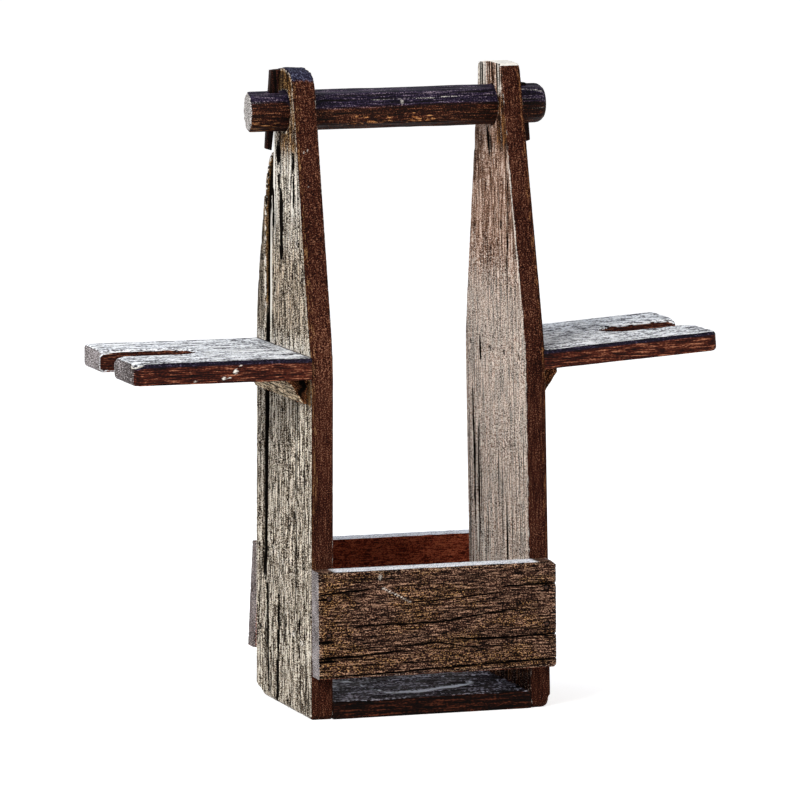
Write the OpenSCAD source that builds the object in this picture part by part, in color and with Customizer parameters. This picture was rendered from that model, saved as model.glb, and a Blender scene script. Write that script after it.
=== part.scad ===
// Carrier for one wine bottle, with a slotted shelf on each side, nailed up from
// old boards. X runs across the carrier, Y from front to back, Z up. The origin
// is on the ground, midway between the side panels. Millimetres.

/* [Side panels] */
// Height of the side panels
panel_h = 396; // [360:1:440]
// Depth of the side panels below the taper
panel_depth = 122; // [108:1:136]
// Distance between the panels' outer faces at the ground
base_w = 154; // [142:1:170]
// Thickness of the left panel
left_panel_t = 13.8; // [11:0.1:16]
// Thickness of the right panel
right_panel_t = 12.6; // [11:0.1:16]
// How far each panel leans inwards over its height
panel_lean = 4.2; // [0:0.1:6]
// Height at which the panels start to taper
taper_z = 221; // [212:1:240]
// Reach of a panel's top in front of the handle's axis
top_front = 19; // [17:0.5:28]
// Reach of a panel's top behind the handle's axis
top_rear = 25; // [17:0.5:32]
// Radius of the soft shoulder where the taper starts
shoulder_r = 230; // [80:5:300]
// Fall of the left panel's top from its peak to the front bevel
left_front_fall = 3; // [0:0.5:5]
// Fall of the right panel's top from its peak to the front bevel
right_front_fall = 0.5; // [0:0.5:5]
// Fall of both panels' tops from their peak to the rear bevel
rear_fall = 2; // [0:0.5:5]
// Bevel at the front corner of a top
front_bevel = 4; // [1:0.5:6]
// Bevel at the rear corner of a top
rear_bevel = 2; // [1:0.5:6]
// Radius of the bottom corners, front and rear
foot_r = 4; // [1:0.5:8]
// Radius of the left panel's outer bottom edge
left_foot_edge_r = 2; // [1:0.5:6]
// Radius of the right panel's outer bottom edge
right_foot_edge_r = 5.5; // [1:0.5:6]

/* [Splits and cracks] */
// Depth of the long split down the left panel's outer face
split_d = 4.2; // [2:0.1:5]
// Depth of the cracks in the panels
crack_d = 2.6; // [1:0.1:4]
// Width of the left panel's open cracks
open_crack_w = 5.2; // [3:0.1:7]
// Width of the narrow cracks in the panels
crack_w = 2.6; // [1:0.1:3]
// Diameter of the knot hole in the left panel
knot_d = 8.8; // [5:0.1:10]
// Depth of the cracks along the front board
board_crack_d = 1.8; // [0.8:0.1:3]
// Width of the cracks along the front board
board_crack_w = 1.4; // [0.8:0.1:2]

/* [Boards] */
// Thickness of the front and rear boards
board_t = 15.4; // [10:0.1:20]
// Height of the front and rear boards
board_h = 66; // [50:1:90]
// Lower edge of the front and rear boards above the ground
board_z = 27.5; // [20:0.5:40]
// Thickness of the bottom board
bottom_t = 11.3; // [8:0.1:14]

/* [Handle] */
// Diameter of the handle
handle_d = 25.8; // [22:0.1:28]
// Wood beyond the left peg's middle, to the handle's left end
left_handle_end = 14.4; // [9:0.1:18]
// Wood beyond the right peg's middle, to the handle's right end
right_handle_end = 12.4; // [9:0.1:18]
// Depth of the handle's axis below the panels' tops
handle_drop = 27; // [24:1:48]
// Radius of the handle's end edges
handle_edge_r = 3.5; // [1:0.1:5]
// Clearance round the handle in the panels
handle_gap = 0.15; // [0.1:0.01:0.3]

/* [Pegs] */
// Side of a peg where it leaves the top of the handle
peg_side = 5.6; // [5:0.1:7]
// How much narrower a peg is at its tip, over its whole length
peg_taper = 1.4; // [0.6:0.1:2]
// Length of a peg below the handle's top
peg_l = 37; // [33:0.5:42]
// Reach of the left peg above the handle
left_peg_head = 13.5; // [4:0.5:18]
// Reach of the right peg above the handle
right_peg_head = 1; // [1:0.5:18]
// Lean of a peg away from upright, in degrees
peg_lean = 5.5; // [0:0.1:6]
// Distance from a panel's outer face to the peg's middle, at the handle's axis
peg_out = 8; // [7.5:0.1:9]
// Clearance round a peg in its mortise
peg_gap = 0.08; // [0.05:0.01:0.15]

/* [Shelves] */
// Length of a shelf from its panel to its outer end
shelf_l = 112.4; // [100:0.1:130]
// Step from a panel's rear edge in to its shelf, which is flush in front
shelf_step = 3; // [0:0.5:14]
// Height of the left shelf's top at its panel
left_shelf_z = 223.5; // [200:0.1:245]
// Height of the right shelf's top at its panel
right_shelf_z = 222.2; // [200:0.1:245]
// Thickness of the left shelf
left_shelf_t = 13.8; // [10:0.1:16]
// Thickness of the right shelf
right_shelf_t = 12.4; // [10:0.1:16]
// Rise of the left shelf outwards, in degrees
left_shelf_rise = 0.3; // [0:0.1:5]
// Rise of the right shelf outwards, in degrees
right_shelf_rise = 3.7; // [0:0.1:5]
// Width of the slot in a shelf
slot_w = 34.8; // [28:0.1:42]
// Depth of the slot from the shelf's outer end
slot_l = 56; // [44:1:64]
// Radius of a shelf's outer corners, seen from above
shelf_corner_r = 4.3; // [1:0.1:6]
// Bevel along the upper and lower edges of a shelf's outer end
shelf_end_bevel = 2.4; // [0.5:0.1:3]

/* [Cleats] */
// Width of a cleat under its shelf
cleat_w = 11.2; // [9:0.1:16]
// Height of a cleat down its panel
cleat_h = 16; // [14:0.1:24]
// Upright nose at a cleat's outer edge
cleat_nose = 3; // [1:0.1:4]
// Flat end at a cleat's lower edge
cleat_foot = 2.5; // [1:0.1:4]
// Step from a panel's front edge in to its cleat
cleat_front_step = 10; // [0:0.5:20]
// Step from a panel's rear edge in to its cleat
cleat_rear_step = 6; // [0:0.5:20]

/* [Nails] */
// Diameter of a nail's shank
nail_d = 1.6; // [1.2:0.1:2]
// Diameter of a nail's head
nail_head_d = 2.6; // [2.4:0.1:3.2]
// Height of a nail's head
nail_head_h = 1; // [0.6:0.1:1.4]
// Length of the nails in the boards and shelves
nail_l = 36; // [30:1:42]
// Length of the nails in the cleats
cleat_nail_l = 19; // [16:0.5:20]
// Clearance round a nail in its hole
nail_gap = 0.05; // [0.02:0.01:0.1]

/* [Hidden] */

$fn = 48;

// Length that every cut and blank runs past the faces it meets
overrun = 20;
// Nails along a panel's depth, as shares of the depth of the piece that they hold
shelf_nail_shares = [-0.39, -0.14, 0.09, 0.43];
bottom_nail_shares = [-0.33, -0.07, 0.27];
cleat_nail_shares = [-0.3, 0.18];
// Nails up a board's end, as shares of its height
board_nail_shares = [0.41, 0.75];
// Where a cleat's nails enter its bevel, as a share of the bevel from its nose
bevel_nail_share = 0.45;
shoulder_steps = 8;
// Outline of the left panel's long split, as shares of half its depth and of its height
split_shares = [
    [0.70, 0.185], [0.77, 0.195], [0.73, 0.39], [0.68, 0.61], [0.69, 0.72], [0.67, 0.79],
    [0.56, 0.85], [0.62, 0.836], [1.1, 0.836], [1.1, 1.02], [0.30, 1.02], [0.37, 0.89],
    [0.38, 0.81], [0.48, 0.76], [0.48, 0.61], [0.57, 0.32], [0.62, 0.195]];
// The panels' cracks run along lines of the same shares
left_open_crack_shares = [
    [[0.213, 0.843], [0.22, 0.864], [0.213, 0.883]],
    [[0.123, 0.697], [0.095, 0.715], [0.095, 0.768], [0.108, 0.803], [0.175, 0.833]]];
left_crack_shares = [
    [[0.384, 0.747], [0.374, 0.780], [0.38, 0.798]],
    [[0.161, 0.177], [0.195, 0.1], [0.231, 0.03]]];
right_crack_shares = [
    [[-0.426, 0.601], [-0.403, 0.692], [-0.462, 0.732], [-0.487, 0.773], [-0.421, 0.859]]];
knot_share = [-0.305, 0.855];
// The front board's cracks, as shares of half its length and of its height
board_crack_shares = [
    [[-0.97, 0.789], [-0.75, 0.808], [-0.51, 0.826]],
    [[-0.62, 0.483], [-0.02, 0.477], [0.34, 0.529]],
    [[0.25, 0.311], [0.62, 0.303], [1.05, 0.311]],
    [[-0.39, 0.05], [0.2, 0.06], [1.05, 0.09]]];

half_w = base_w / 2;
half_depth = panel_depth / 2;
handle_z = panel_h - handle_drop;
lean_slope = panel_lean / panel_h;
shelf_depth = panel_depth - shelf_step;
shelf_forward = shelf_step / 2;
cleat_l = panel_depth - cleat_front_step - cleat_rear_step;
cleat_back = (cleat_front_step - cleat_rear_step) / 2;
dark_wood = [0.27, 0.13, 0.08];
grey_wood = [0.50, 0.45, 0.40];
board_wood = [0.28, 0.19, 0.14];
nail_steel = [0.16, 0.15, 0.15];

// Sides are mirrored about the middle: -1 is left and 1 is right.
function panel_t(side) = side < 0 ? left_panel_t : right_panel_t;
function shelf_t(side) = side < 0 ? left_shelf_t : right_shelf_t;
function shelf_rise(side) = side < 0 ? left_shelf_rise : right_shelf_rise;
function shelf_z(side) = side < 0 ? left_shelf_z : right_shelf_z;
function peg_head(side) = side < 0 ? left_peg_head : right_peg_head;
function front_fall(side) = side < 0 ? left_front_fall : right_front_fall;
function foot_edge_r(side) = side < 0 ? left_foot_edge_r : right_foot_edge_r;

// Distance from the middle to a panel's outer face, and to its inner face, at a height
function outer_x(z) = half_w - lean_slope * z;
function inner_x(side, z) = outer_x(z) - panel_t(side);

// The front and rear boards end level with the panels at half their height
board_l = 2 * outer_x(board_z + board_h / 2);
peg_x = outer_x(handle_z) + peg_out;
handle_l = 2 * peg_x + left_handle_end + right_handle_end;

// A tangent arc between a panel's upright edge and its taper towards a top reach
function taper_angle(reach) = atan((half_depth - reach) / (panel_h - taper_z));
function shoulder(reach) =
    let (a = taper_angle(reach), tangent = shoulder_r * tan(a / 2))
    [for (i = [0 : shoulder_steps])
        let (b = a * i / shoulder_steps)
        [half_depth - shoulder_r * (1 - cos(b)), taper_z - tangent + shoulder_r * sin(b)]];
function taper_y(reach, z) = half_depth - (z - taper_z) * tan(taper_angle(reach));

// One edge of a panel from the ground to its top, as [reach, height] pairs
function panel_edge(reach, fall, bevel) =
    let (corner_z = panel_h - fall - bevel, cut = foot_r * (1 - sin(45)))
    concat(
        [[half_depth - foot_r, 0], [half_depth - cut, cut], [half_depth, foot_r]],
        shoulder(reach),
        [[taper_y(reach, corner_z), corner_z], [taper_y(reach, corner_z) - bevel, panel_h - fall]]);

function reversed(list) = [for (i = [len(list) - 1 : -1 : 0]) list[i]];

// Side view of a panel: Y across, Z up
module panel_outline(side) {
    front = [for (p = panel_edge(top_front, front_fall(side), front_bevel)) [-p[0], p[1]]];
    rear = panel_edge(top_rear, rear_fall, rear_bevel);
    polygon(concat(rear, [[(top_rear - top_front) / 2, panel_h]], reversed(front)));
}

// Front view of the right-hand panel: X across, Z up, leaning inwards
module panel_section(side) {
    r = foot_edge_r(side);
    difference() {
        polygon([
            [outer_x(-overrun) - panel_t(side), -overrun],
            [outer_x(-overrun), -overrun],
            [outer_x(panel_h + overrun), panel_h + overrun],
            [outer_x(panel_h + overrun) - panel_t(side), panel_h + overrun]]);
        difference() {
            translate([half_w - r, -overrun])
                square([r + overrun, overrun + r]);
            translate([outer_x(r) - r, r])
                circle(r);
        }
    }
}

// A profile in X and Z, drawn out along Y from y0 over a length
module along_y(y0, length) {
    translate([0, y0 + length, 0])
        rotate([90, 0, 0])
            linear_extrude(length)
                children();
}

// A place on a panel's side view, from its shares
function on_panel(share) = [share[0] * half_depth, share[1] * panel_h];

// A crack along a line of places, pointed at both ends and side_step wide to each side
module crack_outline(line, side_step) {
    last = len(line) - 1;
    polygon(concat(
        [line[0]],
        [for (i = [1 : last - 1]) line[i] + side_step],
        [line[last]],
        [for (i = [last - 1 : -1 : 1]) line[i] - side_step]));
}

// Cracks that run up a panel
module panel_cracks(lines, w) {
    for (line = lines)
        crack_outline([for (share = line) on_panel(share)], [w / 2, 0]);
}

// An outline on a panel's side view, sunk into the right-hand panel's outer face
module sunk_outside(depth) {
    intersection() {
        rotate([90, 0, 90])
            linear_extrude(half_w + overrun)
                children();
        along_y(-panel_depth, 2 * panel_depth)
            polygon([
                [outer_x(-overrun) - depth, -overrun],
                [half_w + overrun, -overrun],
                [half_w + overrun, panel_h + overrun],
                [outer_x(panel_h + overrun) - depth, panel_h + overrun]]);
    }
}

// The same, sunk into that panel's inner face
module sunk_inside(side, depth) {
    intersection() {
        rotate([90, 0, 90])
            linear_extrude(half_w)
                children();
        along_y(-panel_depth, 2 * panel_depth)
            polygon([
                [0, -overrun],
                [inner_x(side, -overrun) + depth, -overrun],
                [inner_x(side, panel_h + overrun) + depth, panel_h + overrun],
                [0, panel_h + overrun]]);
    }
}

// Puts the right-hand shape of its children on either side
module on_side(side) {
    if (side < 0)
        mirror([1, 0, 0])
            children();
    else
        children();
}

// Everything inwards of a panel's outer face, which cuts what butts against that face
module inside_panel_face() {
    along_y(-panel_depth, 2 * panel_depth)
        polygon([
            [0, -overrun],
            [outer_x(-overrun), -overrun],
            [outer_x(panel_h), panel_h],
            [0, panel_h]]);
}

// A nail with its head's top at the origin, driven along -Z
module nail(length, gap = 0) {
    translate([0, 0, -length])
        cylinder(h = length - nail_head_h / 2, d = nail_d + 2 * gap, $fn = 24);
    translate([0, 0, -nail_head_h])
        cylinder(h = nail_head_h + (gap > 0 ? overrun : 0), d = nail_head_d + 2 * gap, $fn = 24);
}

// Nails through the front board, whose heads lie in its front face
module front_nails(gap = 0) {
    for (side = [-1, 1])
        for (share = board_nail_shares) {
            z = board_z + share * board_h;
            translate([side * (outer_x(z) - panel_t(side) / 2), -half_depth - board_t, z])
                rotate([90, 0, 0])
                    nail(nail_l, gap);
        }
}

module rear_nails(gap = 0) {
    mirror([0, 1, 0])
        front_nails(gap);
}

// Nails through a panel from inside, into the end of its shelf
module shelf_nails(side, gap = 0) {
    on_side(side)
        for (share = shelf_nail_shares) {
            z = shelf_z(side) - shelf_t(side) / 2;
            translate([inner_x(side, z), share * shelf_depth, z])
                rotate([0, -90, 0])
                    nail(nail_l, gap);
        }
}

// Nails through a panel from outside, into the end of the bottom board
module bottom_nails(side, gap = 0) {
    on_side(side)
        for (share = bottom_nail_shares)
            translate([outer_x(bottom_t / 2), share * panel_depth, bottom_t / 2])
                rotate([0, 90, 0])
                    nail(nail_l, gap);
}

// Nails square through a cleat's bevel, into the panel
module cleat_nails(side, gap = 0) {
    top = cleat_top(side);
    x = outer_x(shelf_z(side));
    nose = [x + cleat_w, top - cleat_nose];
    toe = [x + cleat_foot, top - cleat_h];
    bevel_angle = atan2(nose[1] - toe[1], nose[0] - toe[0]);
    at = nose + bevel_nail_share * (toe - nose);
    on_side(side)
        for (share = cleat_nail_shares)
            translate([at[0], cleat_back + share * cleat_l, at[1]])
                rotate([0, 180 - bevel_angle, 0])
                    nail(cleat_nail_l, gap);
}

module panel(side) {
    difference() {
        on_side(side)
            intersection() {
                rotate([90, 0, 90])
                    linear_extrude(half_w + overrun)
                        panel_outline(side);
                along_y(-panel_depth, 2 * panel_depth)
                    panel_section(side);
            }
        rotate([0, 90, 0])
            translate([-handle_z, 0, -half_w - overrun])
                cylinder(h = base_w + 2 * overrun, d = handle_d + 2 * handle_gap, $fn = 96);
        front_nails(nail_gap);
        rear_nails(nail_gap);
        shelf_nails(side, nail_gap);
        bottom_nails(side, nail_gap);
        cleat_nails(side, nail_gap);
    }
}

// The strip behind the long split stands up as far as its broken end
module left_panel() {
    color(grey_wood)
        difference() {
            panel(-1);
            on_side(-1) {
                sunk_outside(split_d)
                    polygon([for (share = split_shares) on_panel(share)]);
                sunk_outside(crack_d) {
                    panel_cracks(left_open_crack_shares, open_crack_w);
                    panel_cracks(left_crack_shares, crack_w);
                    translate(on_panel(knot_share))
                        circle(d = knot_d, $fn = 12);
                }
            }
        }
}

module right_panel() {
    color(grey_wood)
        difference() {
            panel(1);
            sunk_inside(1, crack_d)
                panel_cracks(right_crack_shares, crack_w);
        }
}

// A board across the panels' front edges
module cross_board() {
    translate([-board_l / 2, -half_depth - board_t, board_z])
        cube([board_l, board_t, board_h]);
}

// Cracks sunk into the front board's face
module board_cracks() {
    translate([0, board_crack_d - half_depth - board_t, board_z])
        rotate([90, 0, 0])
            linear_extrude(board_crack_d + overrun)
                for (line = board_crack_shares)
                    crack_outline(
                        [for (share = line) [share[0] * board_l / 2, share[1] * board_h]],
                        [0, board_crack_w / 2]);
}

module front_board() {
    color(board_wood)
        difference() {
            cross_board();
            front_nails(nail_gap);
            board_cracks();
        }
}

module rear_board() {
    color(board_wood)
        difference() {
            mirror([0, 1, 0])
                cross_board();
            rear_nails(nail_gap);
        }
}

// The board between the panels, cut to their lean at its ends
module bottom_board() {
    color(dark_wood)
        difference() {
            along_y(-half_depth, panel_depth)
                polygon([
                    [-inner_x(-1, 0), 0],
                    [inner_x(1, 0), 0],
                    [inner_x(1, bottom_t), bottom_t],
                    [-inner_x(-1, bottom_t), bottom_t]]);
            bottom_nails(-1, nail_gap);
            bottom_nails(1, nail_gap);
        }
}

// Half of the handle's lengthwise section, with rounded end edges
module handle_half_section() {
    r = handle_d / 2;
    inset_l = handle_l - 2 * handle_edge_r;
    square([r - handle_edge_r, handle_l]);
    translate([0, handle_edge_r])
        square([r, inset_l]);
    intersection() {
        square([r, handle_l]);
        for (y = [handle_edge_r, handle_l - handle_edge_r])
            translate([r - handle_edge_r, y])
                circle(handle_edge_r);
    }
}

// A tapered square peg along Z, measured from the handle's top at its middle plane
module peg_blank(side, gap = 0) {
    head = gap > 0 ? overrun : peg_head(side);
    tail = gap > 0 ? overrun : 0;
    slope = peg_taper / peg_l / 2;
    wide = peg_side / 2 + slope * head + gap;
    narrow = peg_side / 2 - slope * (peg_l + tail) + gap;
    intersection_for (turn = [0, 90])
        rotate([0, 0, turn])
            along_y(-peg_side, 2 * peg_side)
                polygon([
                    [-narrow, -peg_l - tail],
                    [narrow, -peg_l - tail],
                    [wide, head],
                    [-wide, head]]);
}

// A peg where it stands, or its mortise if a gap is given
module peg(side, gap = 0) {
    on_side(side)
        translate([peg_x, 0, handle_z])
            rotate([0, -peg_lean, 0])
                translate([0, 0, handle_d / 2])
                    peg_blank(side, gap);
}

module handle() {
    color(dark_wood)
        difference() {
            rotate([0, 90, 0])
                translate([-handle_z, 0, -peg_x - left_handle_end])
                    rotate_extrude($fn = 96)
                        handle_half_section();
            peg(-1, peg_gap);
            peg(1, peg_gap);
        }
}

module left_peg() {
    color(dark_wood)
        peg(-1);
}

module right_peg() {
    color(dark_wood)
        peg(1);
}

// A shelf seen from above, with its outer end at x = reach
module shelf_outline(reach) {
    half = shelf_depth / 2;
    inset = shelf_corner_r;
    difference() {
        union() {
            translate([0, -half])
                square([reach - inset, shelf_depth]);
            translate([0, inset - half])
                square([reach, shelf_depth - 2 * inset]);
            for (y = [inset - half, half - inset])
                translate([reach - inset, y])
                    circle(inset);
        }
        slot_x = reach - slot_l + slot_w / 2;
        translate([slot_x, shelf_forward])
            circle(d = slot_w);
        translate([slot_x, shelf_forward - slot_w / 2])
            square([slot_l, slot_w]);
    }
}

// A shelf from the front, with bevelled outer end: X across, Z up, its top at z = 0
module shelf_edge(side, reach) {
    t = shelf_t(side);
    b = shelf_end_bevel;
    polygon([
        [0, 0],
        [reach - b, 0],
        [reach, -b],
        [reach, b - t],
        [reach - b, -t],
        [0, -t]]);
}

// A shelf's own axes, turned up by its rise about its top edge at the panel
module at_shelf(side) {
    translate([outer_x(shelf_z(side)), 0, shelf_z(side)])
        rotate([0, -shelf_rise(side), 0])
            children();
}

module shelf(side) {
    difference() {
        on_side(side)
            difference() {
                at_shelf(side)
                    translate([-overrun, -shelf_forward, 0])
                        intersection() {
                            translate([0, 0, -shelf_t(side)])
                                linear_extrude(shelf_t(side))
                                    shelf_outline(shelf_l + overrun);
                            along_y(-shelf_depth, 2 * shelf_depth)
                                shelf_edge(side, shelf_l + overrun);
                        }
                inside_panel_face();
            }
        shelf_nails(side, nail_gap);
        cleat_nails(side, nail_gap);
    }
}

module left_shelf() {
    color(grey_wood)
        shelf(-1);
}

module right_shelf() {
    color(grey_wood)
        shelf(1);
}

// Height of a shelf's underside at its panel
function cleat_top(side) = shelf_z(side) - shelf_t(side) / cos(shelf_rise(side));

// A bevelled strip between a panel and the underside of its shelf
module cleat(side) {
    x = outer_x(shelf_z(side));
    top = cleat_top(side);
    difference() {
        on_side(side)
            difference() {
                along_y(cleat_back - cleat_l / 2, cleat_l)
                    polygon([
                        [x - cleat_w, top + overrun / 2],
                        [x + cleat_w, top + overrun / 2],
                        [x + cleat_w, top - cleat_nose],
                        [x + cleat_foot, top - cleat_h],
                        [x - cleat_w, top - cleat_h]]);
                inside_panel_face();
                at_shelf(side)
                    translate([-overrun, -panel_depth, -shelf_t(side)])
                        cube([shelf_l, 2 * panel_depth, 2 * overrun]);
            }
        cleat_nails(side, nail_gap);
    }
}

module left_cleat() {
    color(dark_wood)
        cleat(-1);
}

module right_cleat() {
    color(dark_wood)
        cleat(1);
}

module front_board_nails() {
    color(nail_steel)
        front_nails();
}

module rear_board_nails() {
    color(nail_steel)
        rear_nails();
}

module left_shelf_nails() {
    color(nail_steel)
        shelf_nails(-1);
}

module right_shelf_nails() {
    color(nail_steel)
        shelf_nails(1);
}

module left_bottom_nails() {
    color(nail_steel)
        bottom_nails(-1);
}

module right_bottom_nails() {
    color(nail_steel)
        bottom_nails(1);
}

module left_cleat_nails() {
    color(nail_steel)
        cleat_nails(-1);
}

module right_cleat_nails() {
    color(nail_steel)
        cleat_nails(1);
}

left_panel();
right_panel();
front_board();
rear_board();
bottom_board();
handle();
left_peg();
right_peg();
left_shelf();
right_shelf();
left_cleat();
right_cleat();
front_board_nails();
rear_board_nails();
left_shelf_nails();
right_shelf_nails();
left_bottom_nails();
right_bottom_nails();
left_cleat_nails();
right_cleat_nails();
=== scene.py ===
import bmesh
import bpy
from math import atan2, ceil, cos, floor, hypot, inf, pi, radians, sin, sqrt, tan
from mathutils import Matrix, Vector, noise


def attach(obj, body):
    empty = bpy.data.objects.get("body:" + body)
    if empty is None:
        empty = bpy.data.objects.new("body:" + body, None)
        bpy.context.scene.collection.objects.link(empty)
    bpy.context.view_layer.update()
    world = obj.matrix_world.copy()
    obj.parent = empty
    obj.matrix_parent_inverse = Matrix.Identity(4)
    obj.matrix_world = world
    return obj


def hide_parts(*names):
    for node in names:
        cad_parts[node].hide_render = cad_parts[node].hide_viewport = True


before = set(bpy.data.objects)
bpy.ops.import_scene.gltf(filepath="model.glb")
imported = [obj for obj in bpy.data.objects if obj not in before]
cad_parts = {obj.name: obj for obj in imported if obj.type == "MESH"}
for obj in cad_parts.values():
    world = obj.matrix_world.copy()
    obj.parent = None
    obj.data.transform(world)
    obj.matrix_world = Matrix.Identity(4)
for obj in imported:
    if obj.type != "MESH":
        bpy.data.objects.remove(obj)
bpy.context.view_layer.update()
scene = bpy.context.scene
mm = 0.001  # pieces are modelled in millimetres and finished in metres

# Sizes that several pieces share
carrier = {
    "halfWidth": 77,  # middle to a panel's outer face at the ground
    "halfDepth": 61,
    "lean": 4.2 / 396,  # inward lean of the panels for each mm of height
    "leftThick": 13.8,
    "rightThick": 12.6,
    "shelfRear": 58,
    "rightShelfTop": 222.2,
    "rightShelfThick": 12.4,
    "handleHeight": 369,
    "handleRadius": 12.9,
}


def outerX(height):
    return carrier["halfWidth"] - carrier["lean"] * height


def clamp(value, low=0.0, high=1.0):
    return max(low, min(high, value))


# 0 below low, 1 above high, with a soft start and end
def ease(low, high, value):
    share = clamp((value - low) / (high - low))
    return share * share * (3 - 2 * share)


# Height of a line of (place, value) points at a place
def along(points, place):
    if place <= points[0][0]:
        return points[0][1]
    for (a, va), (b, vb) in zip(points, points[1:]):
        if place <= b:
            return va + (vb - va) * (place - a) / (b - a)
    return points[-1][1]


# Smooth noise from -1 to 1, with its own feature size in each direction
def grain(a, g, across, length, seed):
    return noise.noise(Vector((a / across, g / length, seed)))


# Materials

# A colour given in levels up to 255, as the linear one that Blender mixes
def tone(red, green, blue):
    levels = [c / 255 for c in (red, green, blue)]
    return tuple(((c + 0.055) / 1.055) ** 2.4 if c > 0.04 else c / 12.92 for c in levels) + (1,)


# Gives a node's inputs plain values or other nodes' outputs
def setInputs(tree, node, values):
    for key, value in values.items():
        if isinstance(value, bpy.types.NodeSocket):
            tree.links.new(value, node.inputs[key])
        else:
            node.inputs[key].default_value = value


def addNode(tree, kind, inputs=None, **settings):
    node = tree.nodes.new(kind)
    for key, value in settings.items():
        setattr(node, key, value)
    setInputs(tree, node, inputs or {})
    return node


def newMaterial(name):
    material = bpy.data.materials.new(name)
    material.use_nodes = True
    return material, material.node_tree, material.node_tree.nodes["Principled BSDF"]


def mixTone(tree, share, first, second):
    return addNode(tree, "ShaderNodeMix", {0: share, 6: first, 7: second}, data_type="RGBA").outputs[2]


# Colours along a value; each stop is a place and the levels of red, green and blue
def ramp(tree, value, stops):
    node = addNode(tree, "ShaderNodeValToRGB", {"Fac": value})
    elements = node.color_ramp.elements
    while len(elements) < len(stops):
        elements.new(0.5)
    for element, (place, *levels) in zip(elements, stops):
        element.position = place
        element.color = tone(*levels)
    return node.outputs["Color"]


def maths(tree, operation, *values):
    return addNode(tree, "ShaderNodeMath", dict(enumerate(values)), operation=operation).outputs[0]


def span(tree, value, low, high, start=0.0, end=1.0):
    node = addNode(tree, "ShaderNodeMapRange", {
        "Value": value, "From Min": low, "From Max": high, "To Min": start, "To Max": end})
    return node.outputs[0]


# Noise with features of the given size in millimetres along X, Y and Z
def sizedNoise(tree, place, size, detail, roughness, offset=0.0):
    mapping = addNode(tree, "ShaderNodeMapping", {
        "Vector": place,
        "Location": (offset, offset, offset),
        "Scale": tuple(1 / (s * mm) for s in size)})
    node = addNode(tree, "ShaderNodeTexNoise", {
        "Vector": mapping.outputs[0],
        "Scale": 1.0,
        "Detail": detail,
        "Roughness": roughness})
    return node.outputs["Fac"]


# Sum of noises about their middle, each with its gain, on top of 0.5
def blend(tree, parts):
    total = 0.5
    for value, gain in parts:
        total = maths(tree, "ADD", total, maths(tree, "MULTIPLY_ADD", value, gain, -gain / 2))
    return total


# Wood: fibres, speckle, streaks and dark pore lines on the faces, with ramps of their own for other places.
# Attributes of the mesh say where it is sawn, bare end grain, stained or pale, where grooves get painted
# shade, and where faces get a painted sheen that stands for the sky's reflection.
def woodMaterial(name, look, **changes):
    look = dict(look, **changes)
    material, tree, shader = newMaterial(name)
    place = addNode(tree, "ShaderNodeTexCoord").outputs["Object"]
    fibre = sizedNoise(tree, place, look["fibre"], 2, 0.6)
    streak = sizedNoise(tree, place, look["streak"], 3, 0.5, 7.3)
    patch = sizedNoise(tree, place, look["patch"], 2, 0.5, 3.1)
    speck = sizedNoise(tree, place, look["speck"], 1, 0.5, 5.7)
    pores = sizedNoise(tree, place, look["pores"], 2, 0.5, 1.7)

    # A mark of the mesh with an edge as rough as the speckle, or as the fibres
    def roughMark(attribute, texture, amount=0.8, soft=0.35):
        mark = addNode(tree, "ShaderNodeAttribute", attribute_name=attribute).outputs["Fac"]
        value = maths(tree, "MULTIPLY_ADD", texture, amount, maths(tree, "SUBTRACT", mark, amount / 2))
        shown = span(tree, value, 0.5 - soft, 0.5 + soft)
        return maths(tree, "MULTIPLY", shown, maths(tree, "GREATER_THAN", mark, 0.02))

    textures = (fibre, speck, streak, patch)
    mixed = blend(tree, zip(textures, look["faceGains"]))
    face = ramp(tree, mixed, look["face"])
    ridge = maths(tree, "ABSOLUTE", maths(tree, "SUBTRACT", pores, 0.5))
    line = span(tree, ridge, look["poreWidth"], 0.0)
    line = maths(tree, "MULTIPLY", line, span(tree, streak, 0.38, 0.58, 0.1, look["poreDark"]))
    color = mixTone(tree, line, face, look["groove"])
    sawn = ramp(tree, blend(tree, zip(textures, look["sawnGains"])), look["sawn"])
    color = mixTone(tree, roughMark("sawn", speck, 0.5, 0.2), color, sawn)
    bare = ramp(tree, blend(tree, [(speck, 2.0), (patch, 0.6)]), look["bare"])
    color = mixTone(tree, roughMark("bare", speck), color, bare)
    stainTexture = fibre if look["stainInFibres"] else speck
    stained = roughMark("stain", stainTexture, look["stainRough"], look["stainSoft"])
    color = mixTone(tree, stained, color, ramp(tree, mixed, look["stain"]))
    # Painted sheen: a bluish or white tint that stands for the sky's reflection on faces that look up
    bloom = ramp(tree, blend(tree, zip(textures, look["bloomGains"])), look["bloom"])
    for mark, texture, amount, tint in [
            ("bloom", fibre, 0.8, bloom),
            ("pale", speck, 1.2, look["pale"]),
            # the groove mark: painted shade in grooves, cracks and holes
            ("groove", fibre, 0.4, look["groove"])]:
        color = mixTone(tree, roughMark(mark, texture, amount, 0.3), color, tint)
    rough = span(tree, blend(tree, [(speck, 0.7), (fibre, 0.7)]), 0.35, 0.65, *look["rough"])
    relief = blend(tree, [(fibre, 1.0), (speck, 0.8)])
    height = maths(tree, "SUBTRACT", relief, maths(tree, "MULTIPLY", line, 0.4))
    bump = addNode(tree, "ShaderNodeBump", {"Height": height, "Strength": look["bump"], "Distance": 0.4 * mm})
    setInputs(tree, shader, {
        "Base Color": color,
        "Roughness": rough,
        "Specular IOR Level": look["specular"],
        "Normal": bump.outputs[0]})
    return material


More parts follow.
